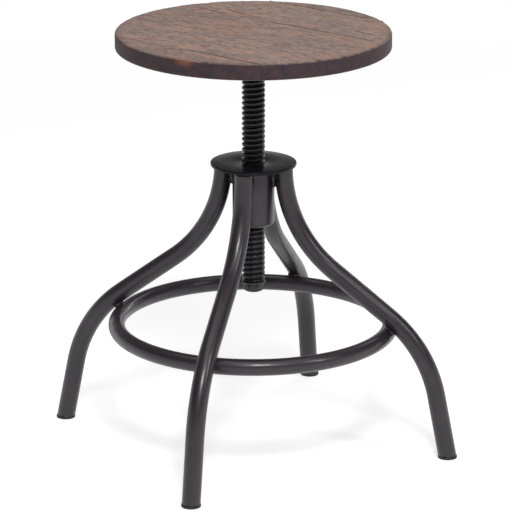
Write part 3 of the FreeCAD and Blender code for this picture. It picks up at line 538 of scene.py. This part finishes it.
RING_BEAD = 7.5 * MM
nearest = line[np.argmin(np.hypot(line[:, 0] - RING_RADIUS, line[:, 1] - RING_HEIGHT))]
towards_leg = nearest - (RING_RADIUS, RING_HEIGHT)
touch = np.array((RING_RADIUS, RING_HEIGHT)) + towards_leg / np.hypot(*towards_leg) * RING_TUBE
ring_lumps = []
for number, bearing in enumerate(LEG_BEARINGS.values()):
    points = lump((touch[0], 0, touch[1]), (0.7 * RING_BEAD, RING_BEAD, RING_BEAD), 10 + number, 0.08)
    ring_lumps.append(turned(points, bearing))
fit(joined("ring_weld_beads", ring_lumps), "base", "weld_bead", weld_bead, "ring_welds")

# Plate under the seat. A punched steel disc, painted like the round plate.
# It is welded to the screw and held to the boards by four wood screws.
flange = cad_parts["seat_flange"]
flange.data.materials.clear()
flange.data.materials.append(plate_paint)

# Weld collar. A ring of overlapping puddles of steel weld.
# It fills the corner between that plate and the screw.
COLLAR_LEG = 5 * MM
COLLAR_BITE = 0.2 * MM
COLLAR_PUDDLES = 34


def weld_collar(around=204, steps=12):
    """A fillet in the corner of plate and screw. Its face is a quarter of a bulge between its two toes,
    and its height rises and falls round the screw with the puddles."""
    angle = np.linspace(0, 2 * np.pi, around, endpoint=False)[None]
    share = np.linspace(0, 1, steps)[:, None]
    puddle = np.abs(np.sin(COLLAR_PUDDLES / 2 * angle + 2 * share)) - 0.5
    leg = COLLAR_LEG * (0.93 + 0.06 * puddle * np.sin(np.pi * share))
    root = SCREW_RADIUS - COLLAR_BITE
    out = root + leg * np.cos(share * np.pi / 2) ** 1.3
    height = FLANGE_UNDERSIDE - leg * np.sin(share * np.pi / 2) ** 1.3
    corner = np.stack([root + 0 * angle, FLANGE_UNDERSIDE + 0 * angle], axis=-1)
    skin = np.concatenate([np.stack([out, height], axis=-1), corner])
    points = np.stack([skin[..., 0] * np.cos(angle), skin[..., 0] * np.sin(angle), skin[..., 1]], axis=-1)
    return grid_piece("weld_collar", points, wrap_rows=True)


fit(weld_collar(), "seat", "weld_bead", weld_bead, "flange_weld")

# Wood screws. Four zinc-plated pan-head screws with a cross recess.
# They are driven up through the plate into the boards, on the diagonals of the grain.
GRAIN = np.radians(-67)
SCREW_CIRCLE_RADIUS = 60 * MM
HEAD_RADIUS = 4.75 * MM
HEAD_HEIGHT = 2.8 * MM
RECESS_REACH = 2.5 * MM
RECESS_WIDTH = 0.55 * MM
RECESS_DEPTH = 1.5 * MM
SHANK_RADIUS = 2.5 * MM
SHANK_TAPER = 8 * MM
SHANK_TOP = 13 * MM


def pan_head_screw(bearing, around=96):
    """The head's face is a dome, level at its middle and falling as the fourth power of the radius.
    The cross recess sinks where a point is close to either arm, and its walls slope in."""
    share = np.linspace(0, 1, 40)[:, None]
    angle = np.linspace(0, 2 * np.pi, around, endpoint=False)[None]
    x, y = HEAD_RADIUS * share * np.cos(angle), HEAD_RADIUS * share * np.sin(angle)
    dome = HEAD_HEIGHT * (0.45 + 0.55 * (1 - share ** 4)) + 0 * angle
    arm = np.minimum(np.abs(x), np.abs(y))
    sink = np.clip((RECESS_WIDTH - arm) / (0.25 * MM) + 0.5, 0, 1)
    sink = sink * np.clip((RECESS_REACH - HEAD_RADIUS * share) / (0.5 * MM), 0, 1)
    face = np.stack([x, y, -dome + RECESS_DEPTH * sink], axis=-1)
    shank = [(HEAD_RADIUS, 0), (SHANK_RADIUS, 0), (SHANK_RADIUS, SHANK_TAPER), (0, SHANK_TOP)]
    points = np.concatenate([face, rings_of(shank, around)])
    place = SCREW_CIRCLE_RADIUS * np.array([np.cos(bearing), np.sin(bearing), 0])
    return points + place + (0, 0, FLANGE_UNDERSIDE)


zinc_screw, tree, shader = new_material("zinc_screw")
shader.inputs["Metallic"].default_value = 1
plating = noise(tree, object_place(tree), 0.002)
tarnish = between(tree, noise(tree, object_place(tree), 0.0006), 0.45, 0.7)
zinc = mix(tree, tarnish, (0.42, 0.42, 0.43, 1), (0.24, 0.24, 0.25, 1))
tree.links.new(zinc, shader.inputs["Base Color"])
tree.links.new(between(tree, plating, 0.3, 0.7, 0.25, 0.45), shader.inputs["Roughness"])
screws = [pan_head_screw(GRAIN + np.pi / 4 + quarter * np.pi / 2) for quarter in range(4)]
fit(joined("pan_head_screws", screws), "seat", "zinc_screw", zinc_screw, "flange_screws")

# Seat boards. Five planks glued edge to edge, turned to a disc, wire-brushed and stained.
# The glue lines have opened a little, and the timber has checked along its grain.
SEAT_RADIUS = 165 * MM
SEAT_EASING = 3 * MM
SEAM_EASING = 1.1 * MM
SEAM_GAP = 0.06 * MM
WORN_BAND = 2.2 * MM
DARK_BAND = 1.6 * MM
SEAMS = (-121.5 * MM, -35 * MM, 51 * MM, 139 * MM)
ALONG = 190
ACROSS_STEP = 0.75 * MM
seat_low, seat_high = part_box("seat_board_3")

# Where each glue line has opened: its start and end along the grain in millimetres, and how much painted
# shade its gap gets.
# Elsewhere it is tight. It closes over a run of some millimetres inside each end.
OPENED = ((0, 118, 1.0), (30, 90, 0.15), (-22, 142, 1.0), (-66, 80, 0.7))
TIGHT = 0.08
CLOSING = 8

# Checks in the timber, in the boards' own directions: start and end as (along, across), half the mouth
# and the depth, all in millimetres.
CHECKS = (
    ((-104, 71), (-34, 58), 1.0, 1.1),
    ((-137, 56), (-86, 53), 0.7, 0.7),
    ((-30, -133), (6, -121), 0.7, 0.8),
    ((-133, 11), (-46, 34), 0.35, 0.5),
    ((-62, -128), (-38, -131), 0.4, 0.5),
    ((92, 78), (136, 73), 0.35, 0.4),
    ((-40, 12), (-12, 14), 0.35, 0.4),
    ((18, -60), (52, -58), 0.35, 0.4),
    ((-120, -40), (-84, -43), 0.35, 0.4),
)

# Chips out of the upper edge: bearing from the grain, half width and depth.
CHIPS = (
    (np.radians(-42.0), np.radians(0.7), 0.9 * MM),
    (np.radians(-39.6), np.radians(0.9), 1.1 * MM),
    (np.radians(-37.5), np.radians(0.5), 0.7 * MM),
    (np.radians(-23.3), np.radians(0.8), 1.2 * MM),
    (np.radians(62.0), np.radians(1.1), 1.0 * MM),
    (np.radians(149.0), np.radians(0.9), 0.9 * MM),
)

# Places where the stain is rubbed off that edge: bearing from the grain and half width.
RUBBED = (
    (np.radians(-79.7), np.radians(4.2)),
    (np.radians(112), np.radians(3.4)),
)


def relief(x, y):
    """Depth of the worn surface under the flat top, at a point of the boards' own plane. It is the sum of
    long soft hills, brushed streaks, finer streaks and pores, all stretched along x."""
    hills = 0.10 * MM * (1 + smooth_noise(x / 0.070, y / 0.016, 31))
    streaks = 0.11 * MM * (1 + smooth_noise(x / 0.045, y / 0.0034, 32))
    fine = 0.09 * MM * (1 + smooth_noise(x / 0.018, y / 0.0015, 33))
    pores = smooth_noise(x / 0.009, y / 0.0012, 34)
    return hills + streaks + fine + 0.22 * MM * np.clip(pores - 0.45, 0, 1)


def checks(x, y):
    """The first is 1 within 0.6 of half the mouth from the wandering middle line, and falls evenly to 0 at
    1.6 of it. The mouth narrows to nothing at both ends."""
    inside = np.zeros_like(x)
    depth = np.zeros_like(x)
    for number, (start, end, half_mouth, sink) in enumerate(CHECKS):
        run = np.clip((x / MM - start[0]) / (end[0] - start[0]), 0, 1)
        mouth = half_mouth * np.sin(np.pi * run) ** 0.4 * (1 + 0.4 * smooth_noise(x / 0.012, 0 * y, number))
        middle = start[1] + (end[1] - start[1]) * run
        middle = middle + 0.9 * smooth_noise(x / 0.022, 0 * y + 0.5, 50 + number)
        share = np.clip(1.6 - np.abs(y / MM - middle) / np.maximum(mouth, 0.01), 0, 1)
        share = share * (mouth > 0.08)
        inside = np.maximum(inside, share)
        depth = np.maximum(depth, share * sink * MM)
    return inside, depth


def opening(seam, u):
    """How far a glue line has opened at a share u of its half length, and how much painted shade its gap
    gets there. Between its ends these are 1 and the line's own share of painted shade, and outside them
    TIGHT and 0. Both change evenly over the closing run inside each end."""
    start, end, seam_shade = OPENED[seam]
    along = u * np.sqrt(SEAT_RADIUS ** 2 - SEAMS[seam] ** 2) / MM
    share = np.clip((along - start) / CLOSING, 0, 1) * np.clip((end - along) / CLOSING, 0, 1)
    return TIGHT + (1 - TIGHT) * share, seam_shade * share


def edge_wear(x, y):
    """How far the upper edge is worn down at the bearing of a point: two soft noises of the bearing, where
    they are above 0, and a bell curve for each chip."""
    bearing = np.arctan2(y, x)
    wear = 0.45 * MM * np.clip(smooth_noise(bearing * 8 + 30, 0 * x, 41), 0, 1)
    wear += 0.30 * MM * np.clip(smooth_noise(bearing * 38 + 130, 0 * x, 42), 0, 1)
    for chip, half_width, depth in CHIPS:
        wear += depth * np.exp(-(((bearing - chip) / half_width) ** 2))
    return wear


def rubbed_edge(x, y):
    """How far the stain is rubbed off at the bearing of a point: a bell curve for each place."""
    bearing = np.arctan2(y, x)
    return sum(np.exp(-(((bearing - place) / half_width) ** 2)) for place, half_width in RUBBED)


def seat_board(number, near, far):
    """One board as a closed skin. A point (u, v) of its face is at y = rho sin t, x = u rho cos t, where t
    runs evenly from the near to the far edge and rho is the disc's radius less the easing. Loops round the
    same rim, drawn in by r (1 - sin a) and lowered by r (1 - cos a), make the eased edge and the side,
    and the underside repeats the face."""
    first = -SEAT_RADIUS if near is None else near
    last = SEAT_RADIUS if far is None else far
    across = max(12, int((last - first) / ACROSS_STEP))
    u, v = np.meshgrid(np.linspace(-1, 1, ALONG), np.linspace(0, 1, across))

    def place(u, v, rim_inset, seam_inset):
        rho = SEAT_RADIUS - rim_inset
        start = -rho if near is None else near + seam_inset * opening(number - 2, u)[0] + SEAM_GAP
        end = rho if far is None else far - seam_inset * opening(number - 1, u)[0] - SEAM_GAP
        t = np.arcsin(start / rho) * (1 - v) + np.arcsin(end / rho) * v
        return u * rho * np.cos(t), rho * np.sin(t)

    index = np.arange(u.size).reshape(u.shape)
    edge = np.concatenate([index[0, :-1], index[:-1, -1], index[-1, :0:-1], index[:0:-1, 0]])
    rim = np.stack([u.reshape(-1)[edge], v.reshape(-1)[edge]], -1)
    easing = np.full(len(rim), SEAT_EASING)
    seam_shade = np.zeros(len(rim))
    # Along an opened glue line the rim takes that line's easing and its painted shade.
    for seam, end_of_v, joint in ((number - 2, 0, near), (number - 1, 1, far)):
        if joint is not None:
            here = (rim[:, 1] == end_of_v) & (np.abs(rim[:, 0]) < 1)
            share, seam_shade_here = opening(seam, rim[:, 0])
            easing = np.where(here, SEAM_EASING * share, easing)
            seam_shade = np.where(here, seam_shade_here, seam_shade)
    at_seam = easing < SEAT_EASING

    x, y = place(u, v, SEAT_EASING, SEAM_EASING)
    inside, depth = checks(x, y)
    from_edge = SEAT_RADIUS - SEAT_EASING - np.hypot(x, y)
    near_edge = np.exp(-np.maximum(from_edge, 0) / WORN_BAND)
    sunk = relief(x, y) + depth + edge_wear(x, y) * near_edge
    top = np.stack([x, y, seat_high.z - sunk], axis=-1).reshape(-1, 3)
    under = np.stack([x, y, seat_low.z + 0 * x], axis=-1).reshape(-1, 3)
    # The checks' mask goes to the material, which gives their middles painted shade.
    check_marks = [inside.reshape(-1), np.zeros(len(under))]
    rubbed_marks = [(rubbed_edge(x, y) * near_edge).reshape(-1), np.zeros(len(under))]
    margin_marks = [np.exp(-np.maximum(from_edge, 0) / DARK_BAND).reshape(-1), np.zeros(len(under))]
    edge_sunk = sunk.reshape(-1)[edge]
    seam_noise = 0.45 + 0.6 * smooth_noise(x.reshape(-1)[edge] / 0.018, 0 * edge, 60 + number)
    rows = []

    def add_row(sideways, height, check, rubbed):
        rows.append(np.stack([sideways[0], sideways[1], height], axis=-1))
        check_marks.append(check)
        rubbed_marks.append(rubbed)
        margin_marks.append(np.where(at_seam, 0.0, 1.0))

    # The rounding rows: where a glue line has opened, they carry painted shade that deepens down into the
    # gap.
    angles = np.linspace(0, np.pi / 2, 7)[1:]
    for a in angles:
        inset = 1 - np.sin(a)
        sideways = place(rim[:, 0], rim[:, 1], SEAT_EASING * inset, SEAM_EASING * inset)
        height = seat_high.z - easing * (1 - np.cos(a)) - edge_sunk * inset
        rubbed = np.where(at_seam, 0, rubbed_edge(*sideways))
        add_row(sideways, height, np.clip(seam_shade * (seam_noise + 1 - inset), 0, 1), rubbed)
    side_top, side_low = rows[-1][:, 2], seat_low.z + easing
    for share in np.linspace(0, 1, 7)[1:-1]:
        add_row(sideways, side_top * (1 - share) + side_low * share, 0 * easing, rubbed * (1 - share) ** 2)
    for a in angles[::-1]:
        inset = 1 - np.sin(a)
        sideways = place(rim[:, 0], rim[:, 1], SEAT_EASING * inset, SEAM_EASING * inset)
        add_row(sideways, seat_low.z + easing * (1 - np.cos(a)), 0 * easing, 0 * easing)
    quads = [np.stack([index[:-1, :-1], index[:-1, 1:], index[1:, 1:], index[1:, :-1]], -1).reshape(-1, 4)]
    quads.append(quads[0][:, ::-1] + len(top))
    ring_start = 2 * len(top)
    loops = [edge] + [ring_start + len(rim) * n + np.arange(len(rim)) for n in range(len(rows))]
    loops.append(edge + len(top))
    for upper, lower in zip(loops[:-1], loops[1:]):
        quads.append(np.stack([upper, lower, np.roll(lower, -1), np.roll(upper, -1)], -1))
    points = turned(np.concatenate([top, under] + rows), np.degrees(GRAIN))
    draw = np.random.default_rng(70 + number)
    return mesh_piece(
        f"plank_{number}",
        points,
        np.concatenate(quads),
        check=np.concatenate(check_marks),
        rubbed=np.concatenate(rubbed_marks),
        margin=np.concatenate(margin_marks),
        tone=np.full(len(points), draw.uniform(0, 1)),
        heart=np.full(len(points), (first + last) / 2 + draw.uniform(-0.02, 0.02)),
    )


def mark(tree, name):
    """A number that the mesh carries."""
    made = tree.nodes.new("ShaderNodeAttribute")
    made.attribute_name = name
    return made.outputs["Fac"]


def along_grain(tree, vector, long, wide, detail=4.0, roughness=0.55):
    """Noise drawn out along the grain: lumps about long by wide metres."""
    stretch = tree.nodes.new("ShaderNodeVectorMath")
    stretch.operation = "MULTIPLY"
    stretch.inputs[1].default_value = (1 / long, 1 / wide, 1 / wide)
    tree.links.new(vector, stretch.inputs[0])
    return noise(tree, stretch.outputs[0], 1.0, detail, roughness)


def darkened(tree, colour, factor):
    """A colour times a number."""
    made = tree.nodes.new("ShaderNodeMix")
    made.data_type = "RGBA"
    made.blend_type = "MULTIPLY"
    made.inputs[0].default_value = 1
    tree.links.new(colour, made.inputs[6])
    tree.links.new(factor, made.inputs[7])
    return made.outputs[2]


WOOD_GREY = (0.262, 0.196, 0.172, 1)
WOOD_WARM = (0.345, 0.222, 0.174, 1)
WOOD_MAUVE = (0.178, 0.119, 0.109, 1)
WOOD_PALE = (0.390, 0.275, 0.215, 1)
STAIN = (0.066, 0.035, 0.037, 1)
STAIN_DEEP = (0.034, 0.023, 0.034, 1)
BARE_EDGE = (0.300, 0.120, 0.060, 1)
RAW_UNDERSIDE = (0.300, 0.215, 0.165, 1)
# Painted shade for the middle of a check or an opened glue line.
GAP_SHADE = (0.030, 0.016, 0.014, 1)
CHECK_WARM = (0.190, 0.085, 0.055, 1)
PITH_HEIGHT = 0.47
RING_SPACING = 4.2 * MM
GRAIN_RELIEF = 0.25 * MM
seat_wood, tree, shader = new_material("seat_wood")
to_grain = tree.nodes.new("ShaderNodeMapping")
to_grain.inputs["Rotation"].default_value = (0, 0, -GRAIN)
tree.links.new(object_place(tree), to_grain.inputs["Vector"])
grain = to_grain.outputs["Vector"]
offset = tree.nodes.new("ShaderNodeCombineXYZ")
tree.links.new(math(tree, "MULTIPLY", mark(tree, "tone"), 3.0), offset.inputs["X"])
tree.links.new(math(tree, "MULTIPLY", mark(tree, "tone"), 1.7), offset.inputs["Z"])
own = tree.nodes.new("ShaderNodeVectorMath")
tree.links.new(grain, own.inputs[0])
tree.links.new(offset.outputs[0], own.inputs[1])
own = own.outputs[0]
parts_of_place = tree.nodes.new("ShaderNodeSeparateXYZ")
tree.links.new(grain, parts_of_place.inputs[0])
height = parts_of_place.outputs["Z"]

# Growth rings: the distance from a pith line under the board, bent by long noise, run through a sine.
bend = math(tree, "MULTIPLY", math(tree, "SUBTRACT", along_grain(tree, own, 0.12, 0.05, 2), 0.5), 0.06)
sideways = math(tree, "ADD", math(tree, "SUBTRACT", parts_of_place.outputs["Y"], mark(tree, "heart")), bend)
below = math(tree, "ADD", math(tree, "SUBTRACT", height, PITH_HEIGHT), bend)
squares = math(tree, "ADD", math(tree, "POWER", sideways, 2), math(tree, "POWER", below, 2))
phase = math(tree, "MULTIPLY", math(tree, "SQRT", squares), 2 * np.pi / RING_SPACING)
late_wood = between(tree, math(tree, "SINE", phase), 0.1, 1.0)

# Colour: broad clouds and bands of grey, warm and mauve, cut by short brushed streaks and open pores.
broad = between(tree, along_grain(tree, own, 0.075, 0.020, 4), 0.40, 0.60)
bands = between(tree, along_grain(tree, own, 0.032, 0.0060, 4, 0.6), 0.46, 0.64)
streaks = between(tree, along_grain(tree, own, 0.011, 0.0019, 5, 0.68), 0.48, 0.64)
pores = between(tree, along_grain(tree, own, 0.0075, 0.0015, 3, 0.6), 0.57, 0.64)
fibres = between(tree, along_grain(tree, own, 0.022, 0.0006, 3, 0.6), 0.35, 0.70)
pale = between(tree, along_grain(tree, own, 0.030, 0.009, 3), 0.58, 0.70)
colour = mix(tree, broad, WOOD_GREY, WOOD_WARM)
colour = mix(tree, math(tree, "MULTIPLY", bands, 0.62), colour, WOOD_MAUVE)
colour = mix(tree, math(tree, "MULTIPLY", pale, 0.6), colour, WOOD_PALE)
worn = math(tree, "MULTIPLY", streaks, 0.50)
worn = math(tree, "ADD", worn, math(tree, "MULTIPLY", pores, 0.58))
worn = math(tree, "ADD", worn, math(tree, "MULTIPLY", late_wood, 0.10))
worn = math(tree, "ADD", worn, math(tree, "MULTIPLY", fibres, 0.12))
worn = math(tree, "SUBTRACT", 1.14, worn)
colour = darkened(tree, colour, worn)
colour = darkened(tree, colour, between(tree, mark(tree, "tone"), 0, 1, 0.93, 1.07))
stain_cloud = between(tree, along_grain(tree, own, 0.045, 0.010, 4), 0.40, 0.64)
soft_wear = math(tree, "ADD", math(tree, "MULTIPLY", worn, 0.45), 0.48)
stain = darkened(tree, mix(tree, stain_cloud, STAIN, STAIN_DEEP), soft_wear)
ragged = math(tree, "MULTIPLY", along_grain(tree, grain, 0.010, 0.006, 4), 0.0026)
stain_line = math(tree, "ADD", height, ragged)
side = between(tree, stain_line, seat_high.z + 0.7 * MM, seat_high.z - 0.4 * MM)
colour = darkened(tree, colour, between(tree, mark(tree, "margin"), 0, 1, 1, 0.72))
colour = mix(tree, side, colour, stain)
rubbed = math(tree, "SUBTRACT", mark(tree, "rubbed"), math(tree, "MULTIPLY", streaks, 0.3))
colour = mix(tree, between(tree, rubbed, 0.10, 0.95, 0, 0.62), colour, BARE_EDGE)
underside = between(tree, height, seat_low.z + 1.2 * MM, seat_low.z + 0.4 * MM)
raw = darkened(tree, mix(tree, broad, RAW_UNDERSIDE, WOOD_WARM), worn)
colour = mix(tree, underside, colour, raw)
# Checks and opened glue lines: a warm brown at their lips, which is the crack's own colour, and painted
# shade in their middles, where they are deepest.
colour = mix(tree, between(tree, mark(tree, "check"), 0.0, 0.35), colour, CHECK_WARM)
colour = mix(tree, between(tree, mark(tree, "check"), 0.3, 0.8), colour, GAP_SHADE)
tree.links.new(colour, shader.inputs["Base Color"])
tree.links.new(between(tree, fibres, 0, 1, 0.56, 0.74), shader.inputs["Roughness"])
shader.inputs["Specular IOR Level"].default_value = 0.35
nap = math(tree, "ADD", math(tree, "MULTIPLY", fibres, 0.5), streaks)
bump = tree.nodes.new("ShaderNodeBump")
bump.inputs["Strength"].default_value = 0.6
bump.inputs["Distance"].default_value = GRAIN_RELIEF
bump.invert = True
tree.links.new(nap, bump.inputs["Height"])
tree.links.new(bump.outputs["Normal"], shader.inputs["Normal"])

edges = (None, *SEAMS, None)
for number in range(1, 6):
    board = seat_board(number, edges[number - 1], edges[number])
    fit(board, "seat", "seat_wood", seat_wood, f"seat_board_{number}")

# Plugs. Moulded black caps pushed into the leg ends: a rim with a lip and a small recess underneath,
# and a ribbed shank that leans with the leg. The stool stands on the rims.
PLUG_SHANK = 9.45 * MM
PLUG_TOP = 18.6 * MM
PLUG_TIP = 8.6 * MM
RIB_DEPTH = 0.2 * MM
RIB_SPACING = 3.1 * MM
MOULD_RELIEF = 0.1 * MM
FOOT_OUT = line[-1][0]


def plug(bearing, around=72):
    """Rings round the leg's own line: each has a radius, a height and a share of the leg's lean. The shank's
    radius falls by a cosine of the height between its ribs. The rim's pairs are in millimetres."""
    rim = [(0, 0.5), (8.2, 0.5), (8.8, 0), (10.9, 0), (11.5, 0.25), (11.8, 0.9), (11.8, 1.7), (11.62, 1.95)]
    rim += [(11.62, 2.1), (11.8, 2.35), (11.6, 2.85), (11.2, 3.0), (9.9, 3.0)]
    rim = np.array(rim) * MM
    climb = np.linspace(PLUG_RIM, PLUG_TOP - 1 * MM, 40)
    ribs = PLUG_SHANK - RIB_DEPTH * (0.5 + 0.5 * np.cos(climb / RIB_SPACING * 2 * np.pi))
    top = np.array([(PLUG_TIP, PLUG_TOP), (0, PLUG_TOP)])
    profile = np.concatenate([rim, np.stack([ribs, climb], -1), top])
    angle = np.linspace(0, 2 * np.pi, around, endpoint=False)[None]
    radius, height = profile[:, :1], profile[:, 1:]
    lean = np.maximum(height, PLUG_RIM / 2) * np.tan(LEG_SPLAY)
    out = FOOT_OUT - np.where(height > PLUG_RIM, lean, PLUG_RIM / 2 * np.tan(LEG_SPLAY))
    points = np.stack([out + radius * np.cos(angle), radius * np.sin(angle), height + 0 * angle], axis=-1)
    return turned(points, bearing)


plug_plastic, tree, shader = new_material("plug_plastic")
place = object_place(tree)
moulding = noise(tree, place, 0.0012, 3)
scuffs = between(tree, noise(tree, place, 0.004, 6, 0.7), 0.52, 0.72)
upright = tree.nodes.new("ShaderNodeSeparateXYZ")
tree.links.new(place, upright.inputs[0])
near_floor = between(tree, upright.outputs["Z"], 2.2 * MM, 0.2 * MM)
scuffed = math(tree, "MULTIPLY", scuffs, near_floor)
moulded = mix(tree, scuffed, (0.012, 0.012, 0.013, 1), (0.06, 0.058, 0.055, 1))
tree.links.new(moulded, shader.inputs["Base Color"])
tree.links.new(between(tree, moulding, 0.3, 0.7, 0.42, 0.62), shader.inputs["Roughness"])
bump = tree.nodes.new("ShaderNodeBump")
bump.inputs["Strength"].default_value = 0.4
bump.inputs["Distance"].default_value = MOULD_RELIEF
tree.links.new(moulding, bump.inputs["Height"])
tree.links.new(bump.outputs["Normal"], shader.inputs["Normal"])
for corner, bearing in LEG_BEARINGS.items():
    cap = grid_piece(f"{corner}_cap", plug(bearing))
    fit(cap, "base", "plug_plastic", plug_plastic, f"{corner}_plug")

# Floor and backdrop. One pale sheet that lies under the stool and curves up far behind it on every
# side, as in a photographer's studio. It isn't part of the stool.
SWEEP_START = 11.0
SWEEP_CURVE = 2.0
SWEEP_HEIGHT = 3.0
FLOOR_GLOW = 0.50
FADE_START, FADE_END = 0.6, 2.2
curl = np.linspace(0, np.pi / 2, 12)
sweep = [(0, 0), (SWEEP_START, 0)]
sweep += [(SWEEP_START + SWEEP_CURVE * np.sin(a), SWEEP_CURVE * (1 - np.cos(a))) for a in curl[1:]]
sweep += [(SWEEP_START + SWEEP_CURVE, SWEEP_HEIGHT)]
floor = lathe("floor", sweep, 96, closed=False)
pale_sheet, tree, shader = new_material("pale_sheet")
shader.inputs["Base Color"].default_value = (0.80, 0.80, 0.80, 1)
shader.inputs["Specular IOR Level"].default_value = 0.0
ray = tree.nodes.new("ShaderNodeLightPath").outputs
mirrored = math(tree, "MAXIMUM", ray["Is Glossy Ray"], ray["Is Transmission Ray"])
seen = math(tree, "MAXIMUM", ray["Is Camera Ray"], mirrored)
shader.inputs["Emission Color"].default_value = (1, 1, 1, 1)
tree.links.new(math(tree, "MULTIPLY", seen, FLOOR_GLOW), shader.inputs["Emission Strength"])
distance = tree.nodes.new("ShaderNodeVectorMath")
distance.operation = "LENGTH"
tree.links.new(object_place(tree), distance.inputs[0])
far = between(tree, distance.outputs["Value"], FADE_START, FADE_END)
white = tree.nodes.new("ShaderNodeEmission")
blend = tree.nodes.new("ShaderNodeMixShader")
tree.links.new(math(tree, "MULTIPLY", seen, far), blend.inputs[0])
tree.links.new(shader.outputs[0], blend.inputs[1])
tree.links.new(white.outputs[0], blend.inputs[2])
tree.links.new(blend.outputs[0], tree.nodes["Material Output"].inputs["Surface"])
floor.data.materials.append(pale_sheet)

# Light. An even pale room and four soft boxes: a wide one overhead, one high in front of the stool
# and two narrow ones on its right.
world = bpy.data.worlds.new("studio")
bpy.context.scene.world = world
world.use_nodes = True
room = world.node_tree.nodes["Background"]
room.inputs["Color"].default_value = (1, 1, 1, 1)
room.inputs["Strength"].default_value = 0.14


def soft_box(name, place, target, width, height, power):
    """A rectangular lamp that faces a point."""
    light = bpy.data.lights.new(name, "AREA")
    light.shape = "RECTANGLE"
    light.size, light.size_y = width, height
    light.energy = power
    lamp = bpy.data.objects.new(name, light)
    lamp.location = place
    lamp.rotation_euler = (Vector(target) - Vector(place)).to_track_quat("-Z", "Y").to_euler()
    bpy.context.scene.collection.objects.link(lamp)


MIDDLE = (0, 0, 0.28)
soft_box("top_box", (0.0, 0.2, 3.0), (0.0, 0.2, 0), 2.4, 2.4, 30)
soft_box("front_box", (-0.9, -2.3, 2.9), MIDDLE, 0.8, 0.8, 70)
soft_box("right_box", (1.15, -2.0, 2.1), MIDDLE, 0.35, 1.2, 16)
soft_box("right_strip", (1.7, 0.9, 0.9), MIDDLE, 0.25, 1.6, 4)

# Camera. It stands at the photograph's own angle, above the front left corner, and has a long lens.
# Its place and lens were fitted to the photograph's edges.
camera_data = bpy.data.cameras.new("camera")
camera_data.lens = 236.29
camera_data.sensor_width = 36
camera = bpy.data.objects.new("camera", camera_data)
camera.location = (-1.8175, -3.4472, 1.4341)
camera.rotation_euler = (np.radians(72.87), 0, np.radians(-27.845))
bpy.context.scene.collection.objects.link(camera)
bpy.context.scene.camera = camera
bpy.context.scene.view_settings.view_transform = "Standard"
